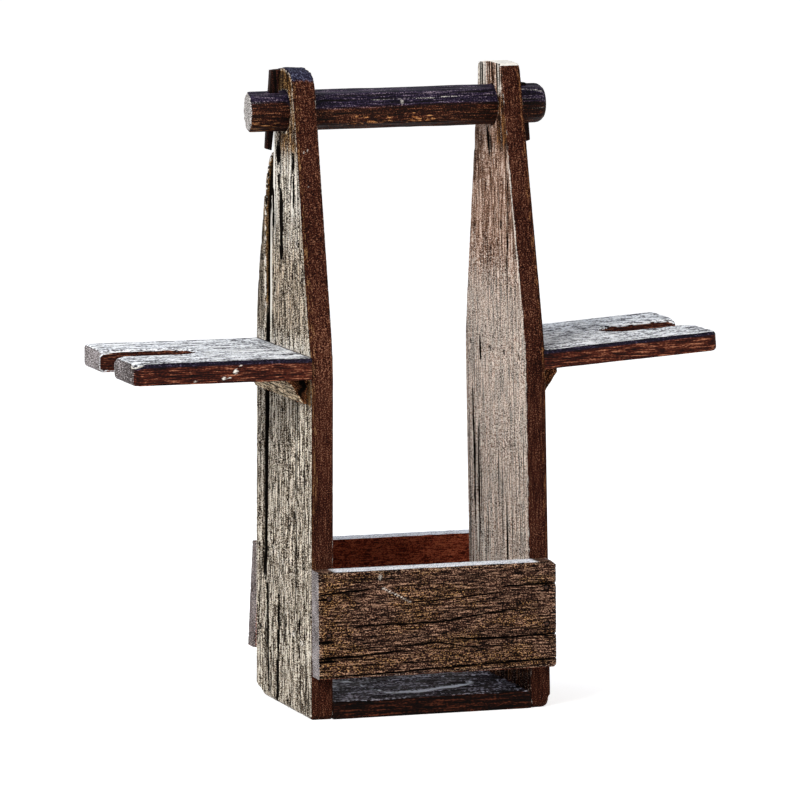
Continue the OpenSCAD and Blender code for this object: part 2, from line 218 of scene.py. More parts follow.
panelLook = {
    "fibre": (0.8, 2.2, 9),
    "speck": (0.6, 2.2, 0.6),
    "streak": (9, 7, 150),
    "patch": (40, 40, 60),
    "faceGains": (2.5, 2.3, 0.35, 0.25),  # of fibre, speck, streak and patch
    "sawnGains": (0.8, 2.0, 0, 0.4),
    "bloomGains": (0.6, 1.2, 0, 0),
    "pores": (5, 5, 80),
    "poreWidth": 0.05,
    "poreDark": 1.0,
    "face": [(0.20, 16, 11, 9), (0.36, 88, 74, 60), (0.49, 143, 128, 109), (0.62, 186, 172, 153),
             (0.80, 236, 228, 213)],
    "sawn": [(0.16, 8, 3, 2), (0.40, 38, 15, 10), (0.54, 54, 24, 15), (0.72, 76, 40, 28),
             (0.94, 140, 98, 76)],
    "bare": [(0.25, 32, 24, 24), (0.45, 96, 84, 82), (0.60, 146, 136, 136), (0.75, 214, 210, 214)],
    "stain": [(0.05, 26, 15, 7), (0.40, 68, 43, 22), (0.62, 98, 67, 37), (0.95, 176, 138, 90)],
    "stainRough": 1.2,
    "stainSoft": 0.3,
    "stainInFibres": True,
    # colours of the painted sheen near the panels' tops
    "bloom": [(0.25, 8, 7, 14), (0.46, 30, 27, 43), (0.60, 47, 45, 64), (0.80, 112, 115, 138)],
    # colour of the pore lines and of the painted shade in grooves
    "groove": tone(8, 5, 3),
    "pale": tone(238, 232, 222),
    "rough": (0.7, 0.95),
    "specular": 0.03,
    "bump": 0.7,
}
rightPanelLook = dict(
    panelLook,
    fibre=(1.0, 2.2, 13),
    faceGains=(1.9, 1.4, 0.2, 0.12),
    poreDark=0.5,
    face=[(0.18, 42, 25, 18), (0.36, 108, 76, 59), (0.50, 143, 110, 91), (0.64, 176, 143, 124),
          (0.84, 234, 212, 197)],
    stain=[(0.2, 9, 4, 2), (0.42, 47, 25, 13), (0.58, 80, 46, 23), (0.8, 160, 112, 68)])
boardLook = dict(
    panelLook,
    fibre=(8, 0.65, 0.65),
    streak=(60, 3, 3),
    patch=(34, 12, 12),
    speck=(0.9, 0.6, 0.6),
    pores=(20, 1.5, 1.5),
    faceGains=(2.2, 2.0, 0.2, 0.2),
    sawnGains=(1.6, 1.4, 0, 0.4),
    face=[(0.16, 1, 1, 1), (0.38, 25, 14, 11), (0.52, 56, 35, 28), (0.68, 90, 60, 48),
          (0.92, 186, 146, 120)],
    sawn=[(0.25, 56, 18, 11), (0.50, 118, 46, 30), (0.75, 170, 90, 62)],
    bare=[(0.22, 30, 26, 28), (0.42, 88, 80, 80), (0.56, 126, 118, 116), (0.78, 214, 208, 210)],
    stain=[(0.25, 60, 32, 14), (0.5, 140, 90, 44), (0.75, 206, 158, 96)],
    stainRough=2.0,
    stainSoft=0.2,
    stainInFibres=False,
    # colours of the painted sheen on the boards' top edges
    bloom=[(0.20, 20, 18, 30), (0.36, 150, 154, 172), (0.50, 250, 252, 255)],
    groove=tone(5, 3, 2))
shelfLook = dict(
    panelLook,
    fibre=(11, 2.2, 0.65),
    streak=(90, 9, 9),
    speck=(1.6, 1.5, 0.6),
    faceGains=(2.8, 1.8, 0.7, 0.25),
    sawnGains=(2.0, 0.9, 0, 0.4),
    sawn=[(0.16, 8, 3, 3), (0.40, 42, 15, 11), (0.54, 62, 25, 16), (0.72, 92, 44, 30),
          (0.94, 170, 112, 84)],
    pores=(60, 9, 7),
    poreDark=0.4,
    # The top's colours run up to a bluish white: pale weathered wood, lifted further as a painted reflection
    # of the sky
    face=[(0.16, 30, 28, 34), (0.34, 150, 149, 156), (0.46, 218, 221, 226), (0.60, 242, 246, 250),
          (0.78, 254, 255, 255)],
    bare=[(0.22, 22, 18, 19), (0.42, 72, 62, 60), (0.56, 104, 94, 92), (0.76, 206, 200, 202)],
    # colours of the painted sheen along the shelves' top arris
    bloom=[(0.25, 6, 5, 12), (0.60, 24, 19, 34), (0.85, 90, 80, 104)],
    rough=(0.5, 0.8),
    specular=0.06)
stainedLook = dict(
    panelLook,
    fibre=(12, 0.9, 0.9),
    streak=(70, 4, 4),
    speck=(0.8, 0.6, 0.6),
    pores=(50, 3, 3),
    faceGains=(1.3, 1.4, 0.45, 0.25),
    bloomGains=(1.3, 1.4, 0.4, 0),
    poreDark=0.6,
    face=[(0.18, 5, 2, 2), (0.40, 24, 8, 5), (0.54, 44, 18, 10), (0.70, 68, 32, 20), (0.92, 150, 100, 72)],
    # colours of the painted sheen on the handle's upper side
    bloom=[(0.16, 2, 2, 4), (0.40, 18, 12, 26), (0.54, 34, 25, 46), (0.70, 56, 45, 66),
           (0.92, 150, 134, 146)],
    rough=(0.4, 0.7),
    specular=0.04,
    bump=0.5)
materials = {
    "leftPanel": woodMaterial("silver_grey_wood", panelLook),
    "rightPanel": woodMaterial("pinkish_grey_wood", rightPanelLook),
    "board": woodMaterial("dark_weathered_wood", boardLook),
    "shelf": woodMaterial("pale_worn_wood", shelfLook),
    "bottom": woodMaterial(
        "red_brown_stained_wood", stainedLook,
        fibre=(14, 2.4, 1.0),
        speck=(1.8, 1.8, 0.8),
        streak=(50, 10, 4),
        sawnGains=(1.8, 1.0, 0, 0.3),
        bloomGains=(2.0, 2.0, 0.9, 0),
        sawn=[(0.20, 2, 1, 1), (0.45, 17, 6, 4), (0.60, 32, 13, 8), (0.85, 84, 44, 30)],
        # Colours of the painted sheen that covers the bottom board's top
        bloom=[(0.22, 1, 1, 2), (0.42, 8, 6, 9), (0.56, 26, 19, 23), (0.70, 62, 52, 60),
               (0.92, 196, 196, 210)],
        # Bluish white for the painted highlight on the crack and the painted reflections on the top
        pale=tone(228, 234, 242)),
    "cleat": woodMaterial(
        "tan_stained_wood", panelLook,
        fibre=(1.3, 8, 1.3),
        speck=(0.7, 1.6, 0.7),
        streak=(5, 60, 5),
        pores=(3, 40, 3),
        face=[(0.22, 44, 28, 18), (0.38, 126, 98, 70), (0.50, 186, 158, 124), (0.72, 236, 218, 186)],
        sawn=[(0.25, 18, 8, 4), (0.45, 70, 36, 22), (0.60, 108, 62, 38), (0.80, 196, 134, 90)]),
    "peg": woodMaterial(
        "dark_peg_wood", stainedLook,
        fibre=(0.9, 0.9, 14),
        streak=(3, 3, 40),
        pores=(2.4, 2.4, 30),
        speck=(0.6, 0.6, 0.6),
        face=[(0.20, 2, 1, 1), (0.46, 10, 4, 3), (0.60, 24, 9, 7), (0.86, 80, 44, 34)]),
    "handle": woodMaterial(
        "hewn_handle_wood", stainedLook,
        bare=[(0.25, 16, 12, 12), (0.44, 96, 88, 84), (0.58, 166, 160, 156), (0.76, 232, 228, 226)],
        stain=[(0.25, 56, 27, 12), (0.5, 146, 86, 46), (0.75, 214, 154, 100)],
        stainRough=1.6,
        stainSoft=0.12,
        specular=0.06),
}
print("materials made:", len(materials))


# Boards

# Sides of an outline that runs counter-clockwise, as outward normals and offsets
def sidesOf(outline):
    sides = []
    for (ax, ay), (bx, by) in zip(outline, outline[1:] + outline[:1]):
        length = hypot(bx - ax, by - ay)
        nx, ny = (by - ay) / length, (ax - bx) / length
        sides.append((nx, ny, nx * ax + ny * ay))
    return sides


# Extrudes faces and moves what is new
def raiseFaces(bm, faces, move):
    raised = bmesh.ops.extrude_face_region(bm, geom=faces)
    bmesh.ops.translate(bm, vec=move, verts=[v for v in raised["geom"] if isinstance(v, bmesh.types.BMVert)])


# Subdivides the edges longer than least whose ends are between low and high apart along an axis
def cutEdges(bm, cuts, axis, low=-1, high=inf, least=0):
    apart = [(e, abs(e.verts[0].co[axis] - e.verts[1].co[axis])) for e in bm.edges]
    chosen = [e for e, gap in apart if low < gap < high and e.calc_length() > least]
    bmesh.ops.subdivide_edges(bm, edges=chosen, cuts=cuts, use_grid_fill=True)


# A board's blank: a fine sheet in X and Y, with the grain along Y, cut to its outline and thickened to Z.
# Extra rows and columns are cut in, and bend moves the columns to follow a line along the grain.
def cutBlank(outline, thick, pitch, run, wallCuts, rows=(), columns=(), bend=None):
    xs = [p[0] for p in outline]
    ys = [p[1] for p in outline]
    width = max(xs) - min(xs)
    length = max(ys) - min(ys)
    bm = bmesh.new()

    def cutAlong(place, normal, near, trim=False):
        bmesh.ops.bisect_plane(bm, geom=bm.verts[:] + bm.edges[:] + bm.faces[:], dist=near,
                               plane_co=place, plane_no=normal, clear_outer=trim)

    bmesh.ops.create_grid(bm, x_segments=ceil(width / pitch), y_segments=ceil(length / run), size=0.5)
    bmesh.ops.scale(bm, vec=(width, length, 1), verts=bm.verts)
    bmesh.ops.translate(bm, vec=(min(xs) + width / 2, min(ys) + length / 2, 0), verts=bm.verts)
    for column in columns:
        cutAlong((column, 0, 0), (1, 0, 0), 0.05)
    for row in rows:
        cutAlong((0, row, 0), (0, 1, 0), 0.05)
    if bend:
        for v in bm.verts:
            v.co.x = bend(v.co.x, v.co.y)
    for nx, ny, offset in sidesOf(outline):
        cutAlong((nx * offset, ny * offset, 0), (nx, ny, 0), 0.001, trim=True)
    raiseFaces(bm, bm.faces[:], (0, 0, thick))
    cutEdges(bm, wallCuts, axis=2, low=thick / 2)
    return bm


# What a place can be: cut in (dark with painted shade), worn away (not dark) and, for the material, its marks
marks = ("groove", "sawn", "bare", "stain", "bloom", "pale")


def addMarks(bm):
    return {name: bm.verts.layers.float.new(name) for name in marks}


# Rounds a blank's arrises, sinks its faces by their grooves and marks both for the material
def weather(bm, outline, thick, look):
    sides = sidesOf(outline)
    layers = addMarks(bm)
    known = {}
    for v in bm.verts:
        a, g, t = v.co
        key = (round(a, 3), round(g, 3))
        if key not in known:
            nearest = min((offset - nx * a - ny * g, nx, ny) for nx, ny, offset in sides)
            known[key] = (look["front"](a, g), look["back"](a, g), nearest)
        front, back, (gap, nx, ny) = known[key]
        isFront = t > thick / 2
        here = front if isFront else back
        toFace = thick - t if isFront else t
        radius = look["arris"](a, g, isFront)
        onWall = gap < 0.01
        sunk = toFace
        drawn = 0.0
        if gap < radius and toFace < radius:
            share = 0.5 + 0.5 * toFace / radius if toFace > 0.01 else 0.5 - 0.5 * gap / radius
            sunk = radius * (1 - cos(share * pi / 2))
            drawn = radius * (1 - sin(share * pi / 2)) - gap
        depth = here.get("cut", 0) + here.get("worn", 0)
        sunk += depth * clamp(1 - 2 * sunk / thick)
        if onWall:
            wall = look["wall"](a, g, t, nx, ny)
            drawn += wall["worn"]
            for name in marks:
                v[layers[name]] = clamp(wall.get(name, 0))
            if isFront:
                # Painted shade: a dark line on the wall just under the front face's arris
                v[layers["groove"]] = max(v[layers["groove"]], look["arrisDark"] * clamp(1 - toFace / 1.4))
        else:
            # Painted shade in the face's furrows, cracks and dents, growing with their depth
            v[layers["groove"]] = clamp(here.get("groove", here.get("cut", 0) / look["darkDepth"]))
            for name in ("sawn", "bare", "stain", "bloom"):
                v[layers[name]] = clamp(here.get(name, 0))
        worn = look["arrisPale"] * ease(3, 1, gap) if isFront and not onWall else 0
        v[layers["pale"]] = clamp(max(v[layers["pale"]], worn, 0 if onWall else here.get("pale", 0)))
        v.co = (a - nx * drawn, g - ny * drawn, thick - sunk if isFront else sunk)
    return bm


# Long grooves along the grain, one in each lane of a band; a band is pitch, run, depth and half width
def furrows(a, g, bands, seed):
    depth = 0
    for pitch, run, deep, half in bands:
        seed += 3.7
        lane = a / pitch + 0.6 * grain(a, g, pitch * 5, run * 1.5, seed)
        number = floor(lane) * 1.37 + 0.31
        middle = floor(lane) + 0.5 + 0.5 * grain(number, 0, 1, 1, seed)
        off = abs(lane - middle) * pitch / half
        if off < 1:
            swell = clamp(0.45 + 1.8 * grain(number, g, 1, run * 0.4, seed + 1.9))
            depth += deep * (1 - off * off) * swell
    return depth


# A crack along the grain through (along, across) points, which opens over the length fade at its ends
def crack(path, wide, deep, fade=5, dark=1):
    return {"path": path, "wide": wide, "deep": deep, "fade": fade, "dark": dark}


def crackDepth(a, g, spec):
    path = spec["path"]
    if not path[0][0] < g < path[-1][0]:
        return 0
    fade = sqrt(clamp(min(g - path[0][0], path[-1][0] - g) / spec["fade"]))
    middle = along(path, g) + 0.35 * grain(0, g, 1, 9, path[0][0])
    half = spec["wide"] / 2 * fade * (1 + 0.35 * grain(0, g, 1, 6, path[0][1]))
    if half <= 0.05:
        return 0
    off = abs(a - middle) / half
    return spec["deep"] * fade * max(0, 1 - off ** 3)


def deepestCrack(a, g, cracks):
    return max(crackDepth(a, g, spec) for spec in cracks)


pastLip = 0.75  # a crack's mark reaches this far past its rear lip, so that its whole rear wall gets painted shade


def crackMark(a, g, cracks):
    depths = [max(crackDepth(a, g, c), crackDepth(a - pastLip, g, c)) * c["dark"] for c in cracks]
    return clamp(max(depths) / 0.5)


# The dent that a nail's head leaves: its depth, and the radii where it ends to be flat and where it ends
dent = {"deep": 1.2, "flat": 1.2, "reach": 2.4}


def nailDimple(a, g, nails):
    nearest = min(hypot(a - na, g - ng) for na, ng in nails)
    return dent["deep"] * (1 - ease(dent["flat"], dent["reach"], nearest))


def scratchMark(a, g, scratches, half):
    spot = Vector((a, g))
    nearest = 9
    for start, end in scratches:
        line = Vector(end) - Vector(start)
        share = clamp((spot - Vector(start)).dot(line) / line.length_squared)
        nearest = min(nearest, (spot - Vector(start) - share * line).length)
    return clamp(1.3 - nearest / half)


# Roughness of a sawn edge, as wear in millimetres
def sawRough(a, g, t):
    fine = noise.noise(Vector((a / 1.4, g / 2.2, t / 1.4)))
    return 0.14 + 0.12 * fine + 0.1 * noise.noise(Vector((a, g, t)) / 8)


# Finished pieces

def meshOf(bm, name):
    mesh = bpy.data.meshes.new(name)
    bm.to_mesh(mesh)
    bm.free()
    return mesh


def addObject(name, data):
    made = bpy.data.objects.new(name, data)
    scene.collection.objects.link(made)
    return made


# Moves a mesh in millimetres to its place, in metres, as an object
def placedObject(bm, name, place):
    if place:
        for v in bm.verts:
            v.co = place(v.co)
    bmesh.ops.scale(bm, vec=(mm, mm, mm), verts=bm.verts)
    bmesh.ops.recalc_face_normals(bm, faces=bm.faces)
    for face in bm.faces:
        face.smooth = True
    return addObject(name, meshOf(bm, name))


# Turns a mesh in millimetres into the piece that stands in for a CAD node
def finishPiece(bm, node, place, body, material):
    piece = placedObject(bm, "finished_" + node, place)
    piece.data.materials.append(material)
    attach(piece, body)
    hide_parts(node)
    return piece


# Cuts a closed shape, given in millimetres, out of a finished piece; the cut walls are marked sawn and get
# painted shade
def carve(piece, bm, place=None):
    sawn = bm.verts.layers.float.new("sawn")
    groove = bm.verts.layers.float.new("groove")
    for v in bm.verts:
        v[sawn] = 1.0
        v[groove] = 0.45
    cutter = placedObject(bm, "cutter", place)
    boolean = piece.modifiers.new("cut", "BOOLEAN")
    boolean.object = cutter
    boolean.operation = "DIFFERENCE"
    boolean.solver = "MANIFOLD"
    solid = bpy.data.meshes.new_from_object(piece.evaluated_get(bpy.context.evaluated_depsgraph_get()))
    piece.modifiers.remove(boolean)
    material = piece.data.materials[0]
    piece.data = solid
    solid.name = piece.name
    solid.materials.clear()
    solid.materials.append(material)
    bpy.data.objects.remove(cutter)


# A closed bar from an outline in X and Y, from z = low to high, with rings between
def ringedBar(bm, low, high, rings):
    face = bm.faces.new(bm.verts[:])
    for v in bm.verts:
        v.co.z = low
    raiseFaces(bm, [face], (0, 0, high - low))
    cutEdges(bm, rings, axis=2, low=(high - low) / 2)
    return bm


def bevelEdges(bm, offset):
    bmesh.ops.bevel(bm, geom=bm.edges[:], offset=offset, offset_type="OFFSET", segments=2, profile=0.5,
                    affect="EDGES", material=-1)


# Side panels

coarseBands = [(8, 170, 0.9, 0.9), (4.4, 90, 0.5, 0.7)]
fineBands = [(7.5, 150, 0.45, 0.9), (3.8, 60, 0.3, 0.8)]

leftPanel = {
    "thick": carrier["leftThick"],
    "outline": [(-58, 0), (44, 0), (61, 5.5), (61, 215), (60, 237), (57.5, 256), (53, 276), (47.6, 297),
                (23.4, 391), (21.5, 393.6), (2.7, 395.8), (-12.5, 393.4), (-17.6, 390.2), (-20.9, 385.5),
                (-57, 238), (-60, 223), (-61, 205), (-61, 3)],
    "front": [(205, -61), (223, -60), (238, -57), (385, -21), (396, -12)],
    "rows": [1, 2, 4, 5, 7, 8, *range(306, 346), 384, 386, *range(388, 396)],
    "splitFront": [(75, 38.1), (92, 36.3), (126, 34.9), (159, 33.4), (191, 31.1), (234, 29.6), (296, 29.2),
                   (312, 28.3), (321, 23.4), (352, 22.6), (396, 19)],
    "splitRear": [(75, 47), (91, 45.3), (154, 44.6), (189, 44), (233, 41.4), (279, 42.4), (304, 41.6),
                  (320, 39), (330, 35.4), (337, 30.4), (342, 24.6)],
    "splitDepth": 4.3,
    "splitTop": 342,
    "stripTop": 314,  # from here up only a thin strip stands behind the split
    "stripWide": 1.3,
    "columns": [29.9, 30.5, 43.4, 43.6, 43.8, 44.0, 45.1, 45.5],
    "skew": [(200, 0), (245, 3.4), (269, 3.2), (300, 2.6), (340, 1.6), (362, 1.2), (378, 2.6), (396, 1.5)],
    # heights from which the walls get a painted sheen
    "bloomed": (387, 390),
    "topFall": 0.6,
    "topPale": 0,
    "chips": [(345, 9.5, 0.4), (349, 10.5, 0.35), (347, 7.5, 0.3), (325, 8, 0.3)],  # up, across, half size
    "cracks": [
        crack([(334, 12.6), (349, 13.4)], 6, 2.8),
        crack([(319, 10.7), (330, 10.8)], 4, 2.2),
        crack([(276, 6.8), (281, 5.6), (304, 5.8), (320.5, 6.6)], 7, 3.2, fade=3),
        crack([(294, 23.4), (309, 22.8), (320, 23.9)], 4, 2.4),
        crack([(310, -20.6), (331, -20.8)], 2.6, 1.8),
        crack([(-2, 14.6), (39.5, 11.9), (70, 9.8)], 4.4, 2.4),
        crack([(60, 36), (69, 36), (78, 42)], 4, 2.4),
        crack([(3, 33), (30, 35), (64, 36)], 2.6, 2.0),
        crack([(50, -34), (60, -34)], 3.4, 2.2),
    ],
    "knot": {"across": -18.6, "up": 338.6, "halfWide": 4.6, "halfHigh": 5.4, "deep": 3.6},
    "nails": [(-40.8, 5.9), (-8.3, 5), (32.9, 5.65)],
    "scratches": [((-16.6, 48.6), (-61, 41)), ((25.4, 97), (1.1, 89)), ((10, 84), (-4, 70))],
}


def splitEdges(g):
    start = along(leftPanel["splitFront"], g) + 0.4 * grain(0, g, 1, 16, 3.3)
    end = along(leftPanel["splitRear"], g) + 0.4 * grain(0, g, 1, 13, 8.1)
    return start, end


# Columns at 30 and 44 follow the split's front and rear edges
def followSplit(a, g):
    start, end = splitEdges(g)
    near = min(2, (end - start) / 3)
    return along([(10, 10), (28, start - 2), (30, start), (32, start + near), (42, end - near), (44, end),
                  (46, end + 2), (61, 61)], a) if a > 10 else a


# Where a place lies across the long split: 0 outside it, 1 on its floor; also how far past its rear edge
def splitAt(a, g):
    start, end = splitEdges(g)
    opened = clamp((a - start) / 0.6)
    if g < leftPanel["splitTop"]:
        gone = clamp((a - end - leftPanel["stripWide"]) / 0.4 + 0.5)
        gone *= ease(leftPanel["stripTop"] - 1, leftPanel["stripTop"] + 1, g)
        opened *= max(gone, clamp((end - a) / 0.6))
    return opened * ease(72, 92, g), a - end


# Pale crust in the corner between a shelf and its panel
def crustAt(a, g):
    return 0.6 * ease(236, 225, g) * clamp(0.7 + 1.2 * grain(a, g, 5, 5, 2.9)) if g > 222 else 0


def leftPanelOuter(a, g):
    panel = leftPanel
    knot = panel["knot"]
    fromFront = a - along(panel["front"], g)
    toKnot = hypot((a - knot["across"]) / knot["halfWide"], (g - knot["up"]) / knot["halfHigh"])
    side = 1 if a > knot["across"] else -1
    bent = a + 2.2 * side * clamp(1.6 - toKnot / 2) if toKnot < 3.2 else a
    frayed = ease(262, 315, g)
    cut = furrows(bent + 1.2 * grain(a, g, 40, 120, 2.0), g, coarseBands, 11) * (0.65 + 1.1 * frayed)
    cut *= ease(0, 7, fromFront)
    cut = max(cut, deepestCrack(a, g, panel["cracks"]), nailDimple(a, g, panel["nails"]))
    if toKnot < 1.3:
        cut = max(cut, knot["deep"] * (1 - ease(0.7, 1.15, toKnot)))
    opened, pastRear = splitAt(a, g)
    inSplit = opened > 0.01 and g < panel["splitTop"] and pastRear < 0.1
    onStrip = 0 <= pastRear < 3 and 286 < g < panel["splitTop"]
    browned = ease(236, 250, g)
    # Painted shadow on the split's floor and lower rear wall; below, painted shade in furrows and cracks and
    # under the shelf in front of the cleat (with a stain there too), and a darker band past the split's rear
    # edge
    dark = max(ease(0.3, 0.75, opened), (1 - browned) * ease(0, 0.2, opened))
    nearTop = max(0.75 * ease(332, 352, g) * ease(26, 2, a), ease(374, 384, g) * ease(26, 14, a))
    frontEdge = ease(14, 3, fromFront) * ease(210, 300, g)
    bleached = furrows(bent, g, [(4.4, 60, 1.0, 1.3)], 77)
    splitRim = ease(-4.5, -2, a - splitEdges(g)[0]) * ease(220, 250, g)
    behind = ease(1, 3, pastRear) * ease(214, 236, g) * ease(342, 334, g)
    beforeCleat = ease(-49.5, -51.5, a) * ease(191, 195, g) * ease(212, 208, g)
    return {
        "cut": 0.1 * cut if inSplit else cut,
        "groove": max(dark, 0.35) if inSplit else max(
            clamp(cut / 0.5), crackMark(a, g, panel["cracks"]), 0.42 * behind, 0.5 * beforeCleat),
        "worn": panel["splitDepth"] * opened * (1 + 0.1 * grain(a, g, 2.2, 40, 5.5))
                + 0.2 * (1 + grain(a, g, 16, 140, 6.2)) * ease(0, 8, fromFront),
        "stain": max(
            nearTop, 0.4 * frontEdge, 0.8 * browned if inSplit else 0, 0.5 * onStrip, beforeCleat,
            0.3 * behind, 0.3 * ease(226, 240, g) * ease(310, 270, g)),
        "pale": 0 if inSplit or onStrip else max(
            0.55 * scratchMark(a, g, panel["scratches"], 0.9),
            0.95 * splitRim * (opened < 0.01) * (pastRear < 0),
            crustAt(a, g),
            max(0.95 * bleached, 0.3) * frayed * (1 - nearTop) * (1 - 0.85 * behind)),
    }


# Wear of a panel's sawn edges; the front is golden beside its outer arris and chipped along the inner one,
# and the walls near the top get a painted sheen
def panelWall(spec):
    def wall(a, g, t, nx, ny):
        top = ny > 0.7 and g > 380
        front = nx < -0.5
        outer = t / spec["thick"]
        # Painted sheen on the walls near the top, standing for the sky's reflection
        low, high = spec["bloomed"]
        bloomed = ease(low, high, g + 1.2 * grain(t, g, 2, 2, 1.4))
        golden = 0.28 * ease(0.6, 0.95, outer) * ease(0, 60, g) if front else 0.1
        chipped = 0.5 * clamp(1.2 - t / 0.7) * clamp(0.2 + 2.5 * grain(0, g, 1, 2.5, 8.8))
        for height, across, half in spec["chips"]:
            chipped = max(chipped, 0.5 * clamp(1.5 - hypot(g - height, t - across) / half))
        return {
            "worn": sawRough(a, g, t) + (spec["topFall"] * (1 - outer) if top else 0) + 0.4 * chipped,
            "sawn": 1.0,
            "bloom": bloomed,
            "stain": golden * (1 - bloomed),
            "pale": max(chipped if front else 0, spec["topPale"] * top),
        }
    return wall


def plainFace(spec):
    def face(a, g):
        fade = ease(0, 7, a - along(spec["front"], g))
        return {
            "cut": furrows(a, g, fineBands, 31) * fade,
            "worn": 0.15 * (1 + grain(a, g, 16, 140, 9.2)) * fade,
        }
    return face


def leftArris(a, g, isFront):
    radius = 0.55 + 0.2 * grain(a, g, 5, 9, 4.4) + (1.4 if isFront else 0.3) * ease(384, 392, g)
    return 2.2 if isFront and g < 4 else max(0.35, radius)


def rightArris(a, g, isFront):
    radius = 0.55 + 0.2 * grain(a, g, 5, 9, 7.4)
    if isFront and g < 12:
        return max(radius, 5.5 * ease(9, 5.6, g))
    return max(0.35, radius)


rightPanel = {
    "thick": carrier["rightThick"],
    "outline": [(-58, 0), (58, 0), (61, 3), (61, 205), (60.3, 222), (57.9, 238), (25.9, 392), (23.8, 394.2),
                (3, 396), (-16, 395.4), (-18.6, 394), (-20.2, 391.5), (-57.2, 238), (-60.2, 222),
                (-61, 205), (-61, 3)],
    "front": [(205, -61), (222, -60), (238, -57), (391, -20)],
    "rows": [1, 2, 4, 5, 7, 8, *(213.5 + 0.6 * i for i in range(10)), 388, *range(390, 396)],
    "cracks": [
        crack([(236, -26), (274, -25), (290, -28), (318, -29.6), (345, -25)], 2.6, 1.6, fade=20, dark=0.14),
        crack([(206, 30.4), (222, 30.8)], 2.8, 2.2),
        crack([(378, -2), (397, -2.4)], 3.2, 2.6),
        crack([(292, -15.5), (299, -15.8)], 2.4, 1.8),
        crack([(338, 5.5), (356, 9)], 3.4, 2.0),
        crack([(338, 1.5), (350, 2)], 2.4, 1.6),
        crack([(100, 47), (150, 46), (190, 48)], 2.4, 1.2, fade=20),
        crack([(94, 36), (128, 38), (170, 36)], 2.0, 1.0, fade=20),
    ],
    "columns": [],
    "skew": [(0, 0)],
    # heights from which the walls get a painted sheen
    "bloomed": (393, 402),
    "topFall": 0,
    "topPale": 0.85,
    "chips": [],
    "nails": [(share * (carrier["shelfRear"] + carrier["halfDepth"]),
               carrier["rightShelfTop"] - carrier["rightShelfThick"] / 2)
              for share in (-0.39, -0.14, 0.09, 0.43)],
}


def rightPanelInner(a, g):
    panel = rightPanel
    fromFront = a - along(panel["front"], g)
    split = ease(372, 384, g)
    cut = furrows(a + 1.0 * grain(a, g, 40, 150, 5.0), g, fineBands, 51)
    cut *= (0.8 + 0.6 * ease(290, 345, g) + 0.9 * ease(170, 120, g)) * ease(0, 5, fromFront)
    cut = max(cut, deepestCrack(a, g, panel["cracks"]), nailDimple(a, g, panel["nails"]))
    cut += split * furrows(a, g, [(4.6, 80, 1.3, 1.3)], 57)
    below = [(abs(a - na), ng) for na, ng in panel["nails"] if g < ng]
    streaks = [(1 - ease(1.0, 2.4, off)) * ease(ng - 8, ng - 2, g) for off, ng in below]
    # The last term of beside is painted fill light: below z 28, in the dark gap under the front board, the
    # face is lifted with stain
    beside = max(ease(-8, -13, a) * ease(340, 350, g) * ease(379, 374, g),
                 0.6 * ease(-4, -12, a) * ease(336, 344, g) * ease(355, 351, g),
                 0.32 * ease(30, 26, g))
    rim = max(ease(3.0, 1.4, fromFront) * ease(225, 260, g) * ease(352, 330, g),
              ease(1.5, 3, fromFront) * ease(374, 380, g) * ease(-11, -14, a))
    bleached = furrows(a, g, [(5.5, 90, 1.0, 2.0)], 73)
    pinkish = ease(26, 30, g)
    return {
        "cut": cut + 0.8 * max(streaks, default=0),
        # painted shade in the furrows and cracks
        "groove": max(clamp(cut / 0.5), crackMark(a, g, panel["cracks"])),
        "worn": 0.15 * (1 + grain(a, g, 18, 160, 8.2)),
        "sawn": ease(80, 60, g),
        "stain": beside,
        # Below z 28 the small share of pale is painted fill light as well
        "pale": 0.12 * (1 - pinkish) + pinkish * max(
            0.6 * rim,
            0.6 * split * ease(5, 12, a),
            0.4 * ease(310, 240, g),
            0.9 * bleached * ease(190, 80, g) * ease(-10, 35, a),
            0.2 * bleached * ease(300, 350, g)),
    }


# Stands a panel up: the grain runs up, and its thickness from the inner face outwards
def panelPlace(side, thick):
    return lambda co: Vector((side * (outerX(co.y) - thick + co.z), co.x, co.y))


def handleHole():
    bm = bmesh.new()
    bmesh.ops.create_circle(bm, segments=96, radius=carrier["handleRadius"] + 0.15)
    ringedBar(bm, low=-100, high=100, rings=139)
    bmesh.ops.rotate(bm, cent=(0, 0, 0), matrix=Matrix.Rotation(pi / 2, 3, "Y"), verts=bm.verts)
    bmesh.ops.translate(bm, vec=(0, 0, carrier["handleHeight"]), verts=bm.verts)
    return bm


def makePanel(name, side, spec, front, back, arris, material, bend=None):
    bm = cutBlank(spec["outline"], spec["thick"], pitch=0.7, run=3.2, wallCuts=16, rows=spec["rows"],
                  columns=spec["columns"], bend=bend)
    weather(bm, spec["outline"], spec["thick"], {
        "front": front, "back": back, "arris": arris, "wall": panelWall(spec),
        "arrisPale": 0.35, "arrisDark": 0.5, "darkDepth": 0.5})
    skewReach = 18  # the front edge's skew fades out over this distance
    for v in bm.verts:
        fromFront = v.co.x - along(spec["front"], v.co.y)
        v.co.x += along(spec["skew"], v.co.y) * v.co.z / spec["thick"] * clamp(1 - fromFront / skewReach)
    piece = finishPiece(bm, name, panelPlace(side, spec["thick"]), "frame", material)
    carve(piece, handleHole())


makePanel("left_panel", -1, leftPanel, leftPanelOuter, plainFace(leftPanel), leftArris,
          materials["leftPanel"], followSplit)
makePanel("right_panel", 1, rightPanel, plainFace(rightPanel), rightPanelInner, rightArris,
          materials["rightPanel"])
print("panels made")


# Front and rear boards

